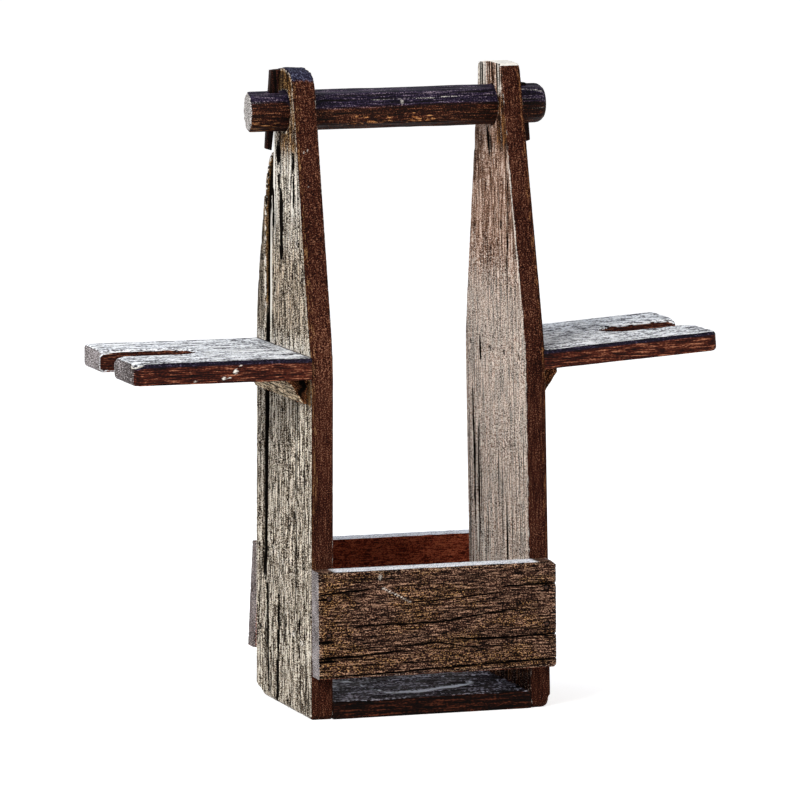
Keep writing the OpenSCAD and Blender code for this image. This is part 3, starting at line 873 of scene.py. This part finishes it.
frontBoard = {
    "thick": 15.4,
    "foot": 27.5,
    "high": 66,
    "outline": [(27.5, -76.4), (93.5, -76.4), (93.5, 73.5), (91.2, 76.2), (29, 76.2), (27.5, 74.5)],
    "bands": [(3.4, 46, 0.6, 0.6), (1.9, 22, 0.4, 0.45)],
    "cracks": [
        crack([(-76.5, 79.5), (-39, 81.9)], 1.1, 1.8),
        crack([(-55, 58.6), (-47, 59.4), (-1, 59), (26, 62.4), (52, 65)], 1.0, 2.0),
        crack([(8, 49), (19, 48), (46, 47.5), (80, 48.4)], 1.2, 2.4),
        crack([(-68, 28.6), (-24, 29.8), (14, 31.2), (80, 33)], 1.1, 2.2),
        crack([(-80, 40), (-52, 40.6), (-20, 43)], 1.2, 2.0),
        crack([(40, 79), (62, 79.4), (80, 79.6)], 1.2, 2.2),
        crack([(-20, 72), (20, 74), (44, 76)], 0.9, 1.4),
        crack([(-30, 45), (0, 46.6), (30, 41)], 0.9, 1.5),
        crack([(-78, 50), (-66, 50.4)], 2.2, 2.0),
        crack([(-78, 76.4), (-67, 76.8)], 2.0, 2.0),
        crack([(-78, 38), (-64, 38.4)], 2.0, 2.0),
    ],
    "notches": [(79.6, 1.2, 1.4), (48.5, 1.7, 2.6)],  # height, half height, depth
    "scratches": [((91, -37.4), (82, -35.2)), ((82, -35.2), (72.5, -17.4))],
}


# Places of the nails in a board, as (up, across)
def boardNails():
    heights = [frontBoard["foot"] + share * frontBoard["high"] for share in (0.41, 0.75)]
    left = [(z, carrier["leftThick"] / 2 - outerX(z)) for z in heights]
    return left + [(z, outerX(z) - carrier["rightThick"] / 2) for z in heights]


nailsInBoard = boardNails()
nailRows = [g + 0.6 * i for g in sorted({round(n[1], 2) for n in nailsInBoard}) for i in range(-4, 5)]
boardRows = nailRows + [-76.1, -75.7, -75.2, 75.8]  # with more of them near the rounded ends


def frontBoardOuter(a, g):
    cut = furrows(a + 0.8 * grain(a, g, 18, 40, 1.0), g, frontBoard["bands"], 71)
    cut = max(cut, deepestCrack(a, g, frontBoard["cracks"]), nailDimple(a, g, nailsInBoard))
    flecks = 0.17 * clamp(0.4 + 3 * grain(a, g, 10, 30, 13.1))
    leftEnd = 0.25 * ease(-50, -72, g) * clamp(0.8 + grain(a, g, 6, 8, 14.0))
    return {
        "cut": cut,
        "worn": 0.2 * (1 + grain(a, g, 7, 60, 3.2)),
        "stain": max(leftEnd, flecks),
        "pale": 0.6 * scratchMark(a, g, frontBoard["scratches"], 0.5),
    }


def rearBoardOuter(a, g):
    cut = furrows(a + 0.8 * grain(a, g, 18, 40, 21.0), g, frontBoard["bands"], 91)
    cut = max(cut, nailDimple(a, g, nailsInBoard))
    return {"cut": cut, "worn": 0.2 * (1 + grain(a, g, 7, 60, 23.2))}


def boardBack(a, g):
    return {
        "cut": furrows(a, g, [(5, 90, 0.25, 0.6)], 17),
        "worn": 0.1 * (1 + grain(a, g, 12, 90, 2.2)),
        "sawn": 1.0,
    }


def boardArris(a, g, isFront):
    return 0.75 + 0.3 * grain(a, g, 4, 7, 6.6)


def boardWall(notches, bloomed, endBare):
    def wall(a, g, t, nx, ny):
        worn = sawRough(a, g, t)
        if ny > 0.5:
            for height, half, deep in notches:
                worn += deep * clamp(1 - abs(a - height) / half) * (0.4 + 0.6 * t / frontBoard["thick"])
        end = abs(ny) > 0.5
        # Painted sheen along the top edge, standing for the sky's reflection
        bloom = clamp(0.9 + 0.5 * grain(t, g, 5, 26, 3.9))
        bloom *= ease(bloomed[0] - 3, bloomed[0] + 3, g) * ease(bloomed[1] + 3, bloomed[1] - 3, g)
        top = nx > 0.5
        return {
            "worn": worn,
            "sawn": 0 if end or top else 1,
            "bare": endBare if end else 0,
            "bloom": bloom if top else 0,
        }
    return wall


def makeBoard(name, outline, front, wall, side):
    bm = cutBlank(outline, frontBoard["thick"], pitch=0.36, run=1.9, wallCuts=16, rows=boardRows)
    weather(bm, outline, frontBoard["thick"], {
        "front": front, "back": boardBack, "arris": boardArris, "wall": wall,
        "arrisPale": 0.1, "arrisDark": 0.3, "darkDepth": 0.9})
    finishPiece(bm, name, lambda co: Vector((co.y, side * (carrier["halfDepth"] + co.z), co.x)), "frame",
                materials["board"])


# The boards' top edges get a painted sheen between these places along them
frontWall = boardWall(frontBoard["notches"], bloomed=(-66, 64), endBare=1)
makeBoard("front_board", frontBoard["outline"], frontBoardOuter, frontWall, -1)
rearOutline = [(27.5, -78), (93.5, -74.2), (93.5, 76.2), (27.5, 76.2)]
makeBoard("rear_board", rearOutline, rearBoardOuter, boardWall([], bloomed=(-70, 70), endBare=0.5), 1)
print("front and rear boards made")


# Bottom board

bottomBoard = {
    "thick": 11.3,
    "outline": [(-61, -63.2), (61, -63.2), (61, 64.4), (-61, 64.4)],
    # A wavy crack, sunk into the top, painted pale as a highlight along its edge
    "paleCrack": [(-48, 20), (-38, 17), (-30, 9), (-26, -19), (-20, -36), (-3, -38), (16, -30), (29, -26),
                  (42, -15)],  # along, across
}


def bottomTop(a, g):
    # The top gets a painted sheen all over, a painted highlight along the wavy crack, and painted reflections
    # of the sky towards the rear left and at the left end
    wave = along(bottomBoard["paleCrack"], g) + 2.5 * grain(0, g, 1, 7, 6.5)
    crack = clamp(1.6 - abs(a - wave) / 3.2) if -48 < g < 42 else 0
    rearGlare = ease(-0.4, 0.5, grain(a, g, 7, 40, 5.1)) * ease(-15, 30, a) * ease(50, -30, g)
    cornerGlare = ease(-30, -50, g) * ease(-30, 10, a)
    return {
        "cut": furrows(a, g, [(12, 60, 0.6, 2.6), (8, 30, 0.4, 2)], 23),
        "worn": 0.25 * (1 + grain(a, g, 20, 70, 4.1)) + 0.6 * crack,
        "bloom": 1.0,
        "pale": max(crack * clamp(1.1 + grain(0, g, 1, 8, 3.5)), 0.5 * rearGlare, 0.6 * cornerGlare),
    }


def bottomUnder(a, g):
    return {"worn": 0.05, "sawn": 1.0}


def plainWall(a, g, t, nx, ny):
    return {"worn": sawRough(a, g, t), "sawn": 1.0}


bm = cutBlank(bottomBoard["outline"], bottomBoard["thick"], pitch=0.8, run=2.4, wallCuts=12)
weather(bm, bottomBoard["outline"], bottomBoard["thick"], {
    "front": bottomTop, "back": bottomUnder, "arris": boardArris, "wall": plainWall,
    "arrisPale": 0.1, "arrisDark": 0, "darkDepth": 0.9})
finishPiece(bm, "bottom_board", lambda co: Vector((co.y, co.x, co.z)), "frame",
            materials["bottom"])
print("bottom board made")


# Shelves

shelf = {
    "length": 112.4,
    "front": -carrier["halfDepth"],
    "rear": carrier["shelfRear"],
    "slotRadius": 17.4,
    "slotLength": 56,
    "cornerRadius": 4.3,
    "left": {"thick": 13.8, "top": 223.5, "rise": radians(0.3), "cornerWorn": 1,
             "chips": [(73.8, 1.8, 0.7), (55.5, 3.0, 0.9), (47.8, 7.0, 1.2), (52, 3.4, 0.5), (60, 10.4, 0.5),
                       (45, 10.6, 0.5)]},  # along, up, half size
    "right": {"thick": carrier["rightShelfThick"], "top": carrier["rightShelfTop"], "rise": radians(3.7),
              "cornerWorn": 0, "chips": []},
}
slotCentre = shelf["length"] - shelf["slotLength"] + shelf["slotRadius"]

def shelfOutline():
    r = shelf["cornerRadius"]
    length = shelf["length"]
    steps = [radians(15 * i) for i in range(7)]
    rearCorner = [(shelf["rear"] - r + r * cos(s), length - r + r * sin(s)) for s in steps]
    frontCorner = [(shelf["front"] + r - r * sin(s), length - r + r * cos(s)) for s in steps]
    return [(shelf["front"], 0), (shelf["rear"], 0)] + rearCorner + frontCorner


# Distance of a place from the slot's edge, negative inside the slot
def slotGap(a, g):
    return (hypot(a, g - slotCentre) if g < slotCentre else abs(a)) - shelf["slotRadius"]


def slotArris(a, g, radius):
    gap = slotGap(a, g)
    return radius * (1 - sqrt(1 - clamp(1 - gap / radius) ** 2)) if gap < radius else 0


# How worn the shelf's outer front corner is
def cornerWear(a, g):
    return clamp(1 - hypot(a - shelf["front"], g - shelf["length"]) / 9)


# How worn the two corners are where the slot opens
def mouthWear(a, g):
    return clamp(1 - hypot(abs(a) - shelf["slotRadius"], g - shelf["length"]) / 7)


def shelfTop(spec):
    def top(a, g):
        bands = [(9, 70, 0.4, 1.2), (5, 30, 0.3, 1.1)]
        cut = furrows(a + 1.2 * grain(a, g, 20, 60, 31.0), g, bands, 33)
        worn = slotArris(a, g, 1.3) + 0.2 * (1 + grain(a, g, 14, 50, 12.2))
        worn += 2.6 * spec["cornerWorn"] * cornerWear(a, g) + 2.2 * mouthWear(a, g) ** 1.5
        # painted shade in the top's furrows
        return {"cut": cut, "worn": worn, "groove": 0.7 * clamp(cut / 0.4)}
    return top


def shelfUnder(a, g):
    return {"cut": furrows(a, g, [(4.4, 60, 0.3, 0.8)], 43), "worn": slotArris(a, g, 1.0), "sawn": 1.0}


def shelfArris(a, g, isFront):
    if g < 3:
        return 0.1
    return 0.8 + 0.3 * grain(a, g, 6, 8, 16.6) + 1.6 * ease(shelf["length"] - 5, shelf["length"] - 1, g)


def shelfWall(spec):
    def wall(a, g, t, nx, ny):
        chip = 0
        if nx < -0.5:
            near = [clamp(1.5 - hypot(g - cg, t - ct) / half) for cg, ct, half in spec["chips"]]
            chip = max(near, default=0)
        end = ease(0.75, 0.95, ny)
        height = t / spec["thick"]
        worn = spec["cornerWorn"] * ease(0.1, 0.5, cornerWear(a, g))
        return {
            "worn": sawRough(a, g, t) + 0.5 * chip,
            "sawn": 1 - end,
            "bare": end,
            # Painted sheen along the top of the sawn walls, standing for the sky's reflection at the arris
            "bloom": ease(0.74, 0.85, height) * (1 - end),
            "pale": max(chip, 0.7 * worn * ease(0.86, 0.96, height)),
        }
    return wall


def shelfPlace(side, spec):
    def place(co):
        level = co.z - spec["thick"]
        x = outerX(spec["top"]) + co.y * cos(spec["rise"]) - level * sin(spec["rise"])
        z = spec["top"] + co.y * sin(spec["rise"]) + level * cos(spec["rise"])
        if co.y < 0.5:
            x = outerX(z) - 0.4
        return Vector((side * x, co.x, z))
    return place


def slotCutter():
    radius = shelf["slotRadius"]
    straight = [(radius, slotCentre + step) for step in range(0, 60, 2)]
    turns = [pi * i / 48 for i in range(1, 48)]
    rounded = [(radius * cos(s), slotCentre - radius * sin(s)) for s in turns]
    outline = straight[::-1] + rounded + [(-across, up) for across, up in straight]
    bm = bmesh.new()
    for across, up in outline:
        bm.verts.new((across + 0.2 * noise.noise(Vector((across, up, 0)) / 5), up, 0))
    return ringedBar(bm, low=-10, high=25, rings=34)


def makeShelf(name, side, spec):
    outline = shelfOutline()
    rows = [shelf["length"] - i for i in (0.5, 1, 1.5, 2, 2.5, 3.5, 4.5)]
    bm = cutBlank(outline, spec["thick"], pitch=0.6, run=1.8, wallCuts=16, rows=rows)
    weather(bm, outline, spec["thick"], {
        "front": shelfTop(spec), "back": shelfUnder, "arris": shelfArris, "wall": shelfWall(spec),
        "arrisPale": 0.2, "arrisDark": 0.5, "darkDepth": 0.6})
    place = shelfPlace(side, spec)
    piece = finishPiece(bm, name, place, "frame", materials["shelf"])
    carve(piece, slotCutter(), place)


makeShelf("left_shelf", -1, shelf["left"])
makeShelf("right_shelf", 1, shelf["right"])
print("shelves made")


# Cleats

cleat = {
    "wide": 11.2,
    "high": 16,
    "nose": 3,
    "foot": 2.5,
    "front": -51,
    "rear": 55,
    "intoPanel": 0.2,
    "bands": [(3.2, 46, 0.5, 0.6), (1.9, 22, 0.3, 0.5)],
}


def makeCleat(name, side, spec):
    under = spec["top"] - spec["thick"] / cos(spec["rise"])
    x = outerX(spec["top"])
    outer = x + cleat["wide"]
    foot = under - cleat["high"]
    section = [(x - cleat["intoPanel"], under), (outer, under + cleat["wide"] * tan(spec["rise"])),
               (outer, under - cleat["nose"]), (x + cleat["foot"], foot),
               (outerX(foot) - cleat["intoPanel"], foot)]
    bm = bmesh.new()
    face = bm.faces.new([bm.verts.new((px, cleat["front"], pz)) for px, pz in section])
    raiseFaces(bm, [face], (0, cleat["rear"] - cleat["front"], 0))
    bevelEdges(bm, 0.7)
    cutEdges(bm, cuts=60, axis=1, low=50)
    cutEdges(bm, cuts=14, axis=1, high=0.1, least=2.2)
    bm.normal_update()
    layers = addMarks(bm)
    for v in bm.verts:
        slant = abs(v.normal.z + 0.54) < 0.25 and v.normal.x > 0.5  # on the face that looks down and outwards
        depth = furrows(v.co.x + v.co.z, v.co.y, cleat["bands"], 63)
        # painted shade in the cleat's furrows
        v[layers["groove"]] = clamp(depth / 0.5)
        v[layers["sawn"]] = 0.0 if slant else 1.0
        v.co -= v.normal * depth
    finishPiece(bm, name, lambda co: Vector((side * co.x, co.y, co.z)), "frame",
                materials["cleat"])


makeCleat("left_cleat", -1, shelf["left"])
makeCleat("right_cleat", 1, shelf["right"])
print("cleats made")


# Handle

handle = {
    "radius": carrier["handleRadius"],
    "left": -96.3,
    "right": 93.5,
    "leftRound": 1.6,
    "rightRound": (5, 4),  # along and across
    "rings": 170,
    "flats": 8,
    "ridge": radians(8),  # the first ridge, above the level of the axis in front
    "skew": 0.09,  # how far the left end is sawn off square
    "chips": [(-33, -15, -0.36, 0.8), (-35, -24, -0.7, 1.2), (-23, -15, -0.62, 1.0), (-14, -5, -0.62, 1.3),
              (-11, -7, -0.38, 1.3), (2, 13, -0.64, 1.6), (5, 10, -0.36, 2.2), (14, 22, -0.6, 1.4),
              (16, 20, -0.4, 1.2)],  # start, end, height and half width
    "scars": [(-20, 0, 0.49), (-1, 0.6, 0.35), (3, 38, 0.53), (-10, 0, 0.2), (76, 92, 0.72), (78, 92, 0.3),
              (80, 92, -0.2)],  # start, end and height of thin pale lines, painted highlights along the ridges and on the right end
}


def handleProfile():
    left, right, r = handle["left"], handle["right"], handle["radius"]
    small = handle["leftRound"]
    length, drop = handle["rightRound"]
    points = [(left, 0), (left, r * 0.25), (left, r * 0.5), (left, r * 0.72), (left, r - small)]
    turns = [radians(30), radians(60), radians(90)]
    points += [(left + small - small * cos(s), r - small + small * sin(s)) for s in turns]
    start = left + small
    end = right - length
    points += [(start + (end - start) * i / handle["rings"], r) for i in range(1, handle["rings"] + 1)]
    turns = [radians(25), radians(50), radians(70), radians(90)]
    points += [(end + length * sin(s), r - drop + drop * cos(s)) for s in turns]
    return points + [(right, r * 0.5), (right, r * 0.25), (right, 0)]


def latheBar(points, steps):
    bm = bmesh.new()
    verts = [bm.verts.new((x, -r, 0)) for x, r in points]
    edges = [bm.edges.new(pair) for pair in zip(verts, verts[1:])]
    bmesh.ops.spin(bm, geom=verts + edges, cent=(0, 0, 0), axis=(1, 0, 0), dvec=(0, 0, 0), angle=2 * pi,
                   steps=steps, use_merge=True, use_normal_flip=False, use_duplicate=False)
    bmesh.ops.remove_doubles(bm, verts=bm.verts, dist=0.0005)
    return bm


def chipAt(x, height, around):
    deepest = 0
    for start, end, middle, half in handle["chips"]:
        if start < x < end:
            away = abs(height - middle - 0.08 * grain(x, 0, 3, 1, start)) * handle["radius"]
            rough = clamp(0.5 + 2.6 * grain(around, x, 0.6, 2.4, 9.9))
            fade = sqrt(clamp(min(x - start, end - x) / 2))
            deepest = max(deepest, clamp(1.3 - away / half) * fade * rough)
    return deepest


# Painted highlights: thin pale lines that stand for glints along the handle's ridges and on its right end
def glintAt(x, height):
    deepest = 0
    for start, end, middle in handle["scars"]:
        if start < x < end:
            off = abs(height - middle - 0.06 * grain(x, 0, 14, 1, middle))
            width = 0.02 + 0.09 * (end - start < 3)
            deepest = max(deepest, clamp(1.4 - off / width) * clamp(0.7 + grain(x, 0, 5, 1, start)))
    return deepest


bm = latheBar(handleProfile(), 120)
layers = addMarks(bm)
for v in bm.verts:
    x, y, z = v.co
    radius = hypot(y, z)
    angle = atan2(z, -y)  # 0 faces the front, and it grows upwards
    full = clamp(radius / handle["radius"])
    wander = 0.12 * grain(x, 0, 60, 1, 2.7)
    facet = 0.5 - 0.5 * cos(handle["flats"] * (angle - handle["ridge"] + wander))
    around = angle * handle["radius"]
    sunk = 0.75 * facet + 0.25 * (1 + grain(around, x, 7, 26, 4.9))
    sunk += 0.25 * (1 + grain(0, x, 1, 30, 7.7))
    cut = furrows(around, x, [(3.1, 50, 0.35, 0.7), (1.9, 24, 0.22, 0.6)], 83)
    height = sin(angle)
    chip = chipAt(x, height, around)
    onLeftEnd = x < handle["left"] + 0.3
    onRightEnd = x > handle["right"] - 0.6
    onEnd = onLeftEnd or onRightEnd
    stub = ease(-76, -82, x) * ease(0.1, -0.6, height)
    # painted shade in the handle's furrows
    v[layers["groove"]] = 0 if onEnd else clamp(cut / 0.45)
    v[layers["sawn"]] = 1.0 if onRightEnd else 0.0
    nearLeftEnd = ease(handle["left"] + 17, handle["left"] + 4, x + 9 * (1 - height))
    v[layers["bare"]] = 1.0 if onLeftEnd else 0.9 * nearLeftEnd * ease(0.4, 0.7, height)
    v[layers["stain"]] = 0 if onLeftEnd else clamp(chip + 0.3 * stub)
    # Painted sheen on the upper side, standing for the sky's reflection; it starts higher on the left stub
    start = 0.35 * ease(-68, -76, x)
    bloom = ease(start, start + 0.3, height + 0.15 * grain(around, x, 9, 40, 1.2))
    v[layers["bloom"]] = 0 if onLeftEnd else bloom
    # the pale here is the painted highlights
    v[layers["pale"]] = 0.6 * glintAt(x, height)
    shrink = 1 - full * 0.06 if onEnd else 1 - full * (sunk + cut + 0.5 * chip) / radius
    v.co.y *= shrink
    v.co.z *= shrink
    leftShare = ease(handle["left"] + 12, handle["left"], x)
    v.co.x += leftShare * (handle["skew"] * y + 0.5 * noise.noise(Vector((y / 2.2, z / 2.2, 4.0))))
    v.co.z += carrier["handleHeight"]
handlePiece = finishPiece(bm, "handle", None, "frame", materials["handle"])
print("handle made")


# Pegs

peg = {
    "side": 5.6,
    "slope": 1.4 / 37 / 2,
    "length": 37,
    "lean": radians(5.5),
    "fromPanel": 8,
    "gap": 0.08,
    "leftHead": 13.5,
    "rightHead": 1,
    "headSlant": 1.2,
    "tipSlant": 0.9,
    "cutterEnds": 20,  # how far the mortise's cutter reaches past the wood
}


def pegPlace(side):
    x = outerX(carrier["handleHeight"]) + peg["fromPanel"]
    stand = Matrix.Translation((x, 0, carrier["handleHeight"])) @ Matrix.Rotation(-peg["lean"], 4, "Y")
    stand = stand @ Matrix.Translation((0, 0, handle["radius"]))

    def place(co):
        spot = stand @ co
        return Vector((side * spot.x, spot.y, spot.z))
    return place


def pegBlank(top, tail, gap):
    bm = bmesh.new()
    bmesh.ops.create_cube(bm, size=1)
    bmesh.ops.translate(bm, vec=(0, 0, 0.5), verts=bm.verts)
    bmesh.ops.scale(bm, vec=(1, 1, top + tail), verts=bm.verts)
    bmesh.ops.translate(bm, vec=(0, 0, -tail), verts=bm.verts)
    for v in bm.verts:
        width = peg["side"] + 2 * peg["slope"] * v.co.z + 2 * gap
        v.co.x *= width
        v.co.y *= width
    return bm


def makePeg(name, side, head):
    bm = pegBlank(head, peg["length"], 0)
    for v in bm.verts:
        if v.co.x > 0:
            v.co.z += -peg["headSlant"] if v.co.z > 0 else peg["tipSlant"]
    bevelEdges(bm, 0.55)
    cutEdges(bm, cuts=30, axis=2, low=15)
    cutEdges(bm, cuts=8, axis=2, high=1.4, least=2.5)
    bm.normal_update()
    for v in bm.verts:
        v.co -= v.normal * (0.12 + 0.12 * noise.noise(Vector((v.co.x / 1.5, v.co.y / 1.5, v.co.z / 9))))
    finishPiece(bm, name, pegPlace(side), name, materials["peg"])
    mortise = pegBlank(peg["cutterEnds"], peg["length"] + peg["cutterEnds"], peg["gap"])
    carve(handlePiece, mortise, pegPlace(side))


makePeg("left_peg", -1, peg["leftHead"])
makePeg("right_peg", 1, peg["rightHead"])
print("pegs made")


# Nails

def nailMaterial():
    material, tree, shader = newMaterial("rusty_nail_steel")
    place = addNode(tree, "ShaderNodeTexCoord").outputs["Object"]
    rust = sizedNoise(tree, place, (0.9, 0.9, 0.9), 4, 0.6)
    bump = addNode(tree, "ShaderNodeBump", {"Height": rust, "Strength": 0.4, "Distance": 0.3 * mm})
    setInputs(tree, shader, {
        "Base Color": ramp(tree, rust, [(0.38, 20, 16, 15), (0.52, 52, 34, 26), (0.66, 112, 62, 34)]),
        "Roughness": maths(tree, "MULTIPLY_ADD", rust, 0.5, 0.35),
        "Metallic": 0.6,
        "Normal": bump.outputs[0]})
    return material


# Middles of each CAD nail's head top and tip, in millimetres
def nailEnds(node):
    bm = bmesh.new()
    bm.from_mesh(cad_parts[node].data)
    bmesh.ops.remove_doubles(bm, verts=bm.verts, dist=1e-6)
    left = set(bm.verts)
    ends = []
    while left:
        island, queue = [], [left.pop()]
        while queue:
            v = queue.pop()
            island.append(v.co / mm)
            near = {e.other_vert(v) for e in v.link_edges} & left
            left -= near
            queue += near
        first = max(island, key=lambda p: (p - island[0]).length)
        last = max(island, key=lambda p: (p - first).length)
        axis = (last - first).normalized()
        groups = [[p for p in island if (p - first).dot(axis) < 0.6],
                  [p for p in island if (last - p).dot(axis) < 0.6]]
        middles = [sum(group, Vector()) / len(group) for group in groups]
        radii = [sum((p - m).length for p in group) / len(group) for group, m in zip(groups, middles)]
        ends.append(middles if radii[0] > radii[1] else middles[::-1])
    bm.free()
    return ends


nail = {"shank": 0.8, "head": 1.25, "headHeight": 0.9, "sunk": 0.75}
nailFinish = nailMaterial()


def makeNails(node):
    whole = bmesh.new()
    for head, tip in nailEnds(node):
        length = (tip - head).length
        start = nail["sunk"]
        profile = [(start + 0.12, 0), (start + 0.1, 0.5), (start, 0.9), (start + 0.15, nail["head"] - 0.05),
                   (start + 0.35, nail["head"]), (start + nail["headHeight"], nail["shank"]),
                   (length - 3, nail["shank"]), (length - 0.4, 0.15), (length, 0)]
        bm = latheBar(profile, 16)
        turn = Vector((1, 0, 0)).rotation_difference(tip - head).to_matrix().to_4x4()
        bm.transform(Matrix.Translation(head) @ turn)
        part = meshOf(bm, "part")
        whole.from_mesh(part)
        bpy.data.meshes.remove(part)
    finishPiece(whole, node, None, "frame", nailFinish)


for node in sorted(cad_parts):
    if node.endswith("_nails"):
        makeNails(node)
print("nails made")


# Studio

studio = {
    "lamps": [("key", 43, 0.9, (-1.5, -1.4, 1.3), (1, 0.98, 0.95)),
              ("sky", 13, 1.8, (-0.3, 0.7, 2.0), (0.72, 0.82, 1)),
              ("fill", 6, 1.6, (1.9, -1.4, 0.7), (1, 0.97, 0.93))],  # name, power, size, place, colour
    "target": (0, 0, 0.2),
    "worldDiffuse": 0.45,
    "floorGlow": 0.62,
}


# 1 where a surface shows, straight or in a shine, and 0 where it only lights the others
def seenShare(tree):
    path = addNode(tree, "ShaderNodeLightPath").outputs
    return maths(tree, "MAXIMUM", path["Is Camera Ray"],
                 maths(tree, "MAXIMUM", path["Is Glossy Ray"], path["Is Transmission Ray"]))


for name, power, size, place, color in studio["lamps"]:
    light = bpy.data.lights.new(name, "AREA")
    light.energy = power
    light.size = size
    light.color = color
    lamp = addObject(name, light)
    lamp.location = place
    lamp.rotation_euler = (Vector(studio["target"]) - lamp.location).to_track_quat("-Z", "Y").to_euler()

world = bpy.data.worlds.new("studio")
scene.world = world
world.use_nodes = True
tree = world.node_tree
diffuse = studio["worldDiffuse"]
strength = maths(tree, "MULTIPLY_ADD", seenShare(tree), 1 - diffuse, diffuse)
setInputs(tree, tree.nodes["Background"], {"Color": (1, 1, 1, 1), "Strength": strength})

bm = bmesh.new()
bmesh.ops.create_grid(bm, x_segments=1, y_segments=1, size=8)
ground = addObject("ground", meshOf(bm, "ground"))
material, tree, shader = newMaterial("pale_floor")
setInputs(tree, shader, {
    "Base Color": (0.8, 0.8, 0.8, 1),
    "Roughness": 0.9,
    "Emission Color": (1, 1, 1, 1),
    "Emission Strength": maths(tree, "MULTIPLY", seenShare(tree), studio["floorGlow"])})
ground.data.materials.append(material)

# Camera at the photograph's place: turned and raised about the carrier, slid sideways and up in its own plane
camera = {
    "azimuth": radians(-17.178), "elevation": radians(6.891), "roll": radians(-0.45),
    "distance": 4.436067, "slideRight": -0.001352, "slideUp": 0.185963,
    "lens": 320.97, "sensor": 36,
}


def placeCamera(spec):
    az, el = spec["azimuth"], spec["elevation"]
    back = Vector((sin(az) * cos(el), -cos(az) * cos(el), sin(el)))
    level = Vector((0, 0, 1)).cross(back).normalized()
    upright = back.cross(level)
    right = cos(spec["roll"]) * level + sin(spec["roll"]) * upright
    up = cos(spec["roll"]) * upright - sin(spec["roll"]) * level
    data = bpy.data.cameras.new("camera")
    data.lens = spec["lens"]
    data.sensor_width = spec["sensor"]
    data.clip_end = 100
    eye = addObject("camera", data)
    pose = Matrix((right, up, back)).transposed().to_4x4()
    pose.translation = spec["distance"] * back + spec["slideRight"] * right + spec["slideUp"] * up
    eye.matrix_world = pose
    scene.camera = eye


placeCamera(camera)
scene.view_settings.view_transform = "Standard"
print("studio made")
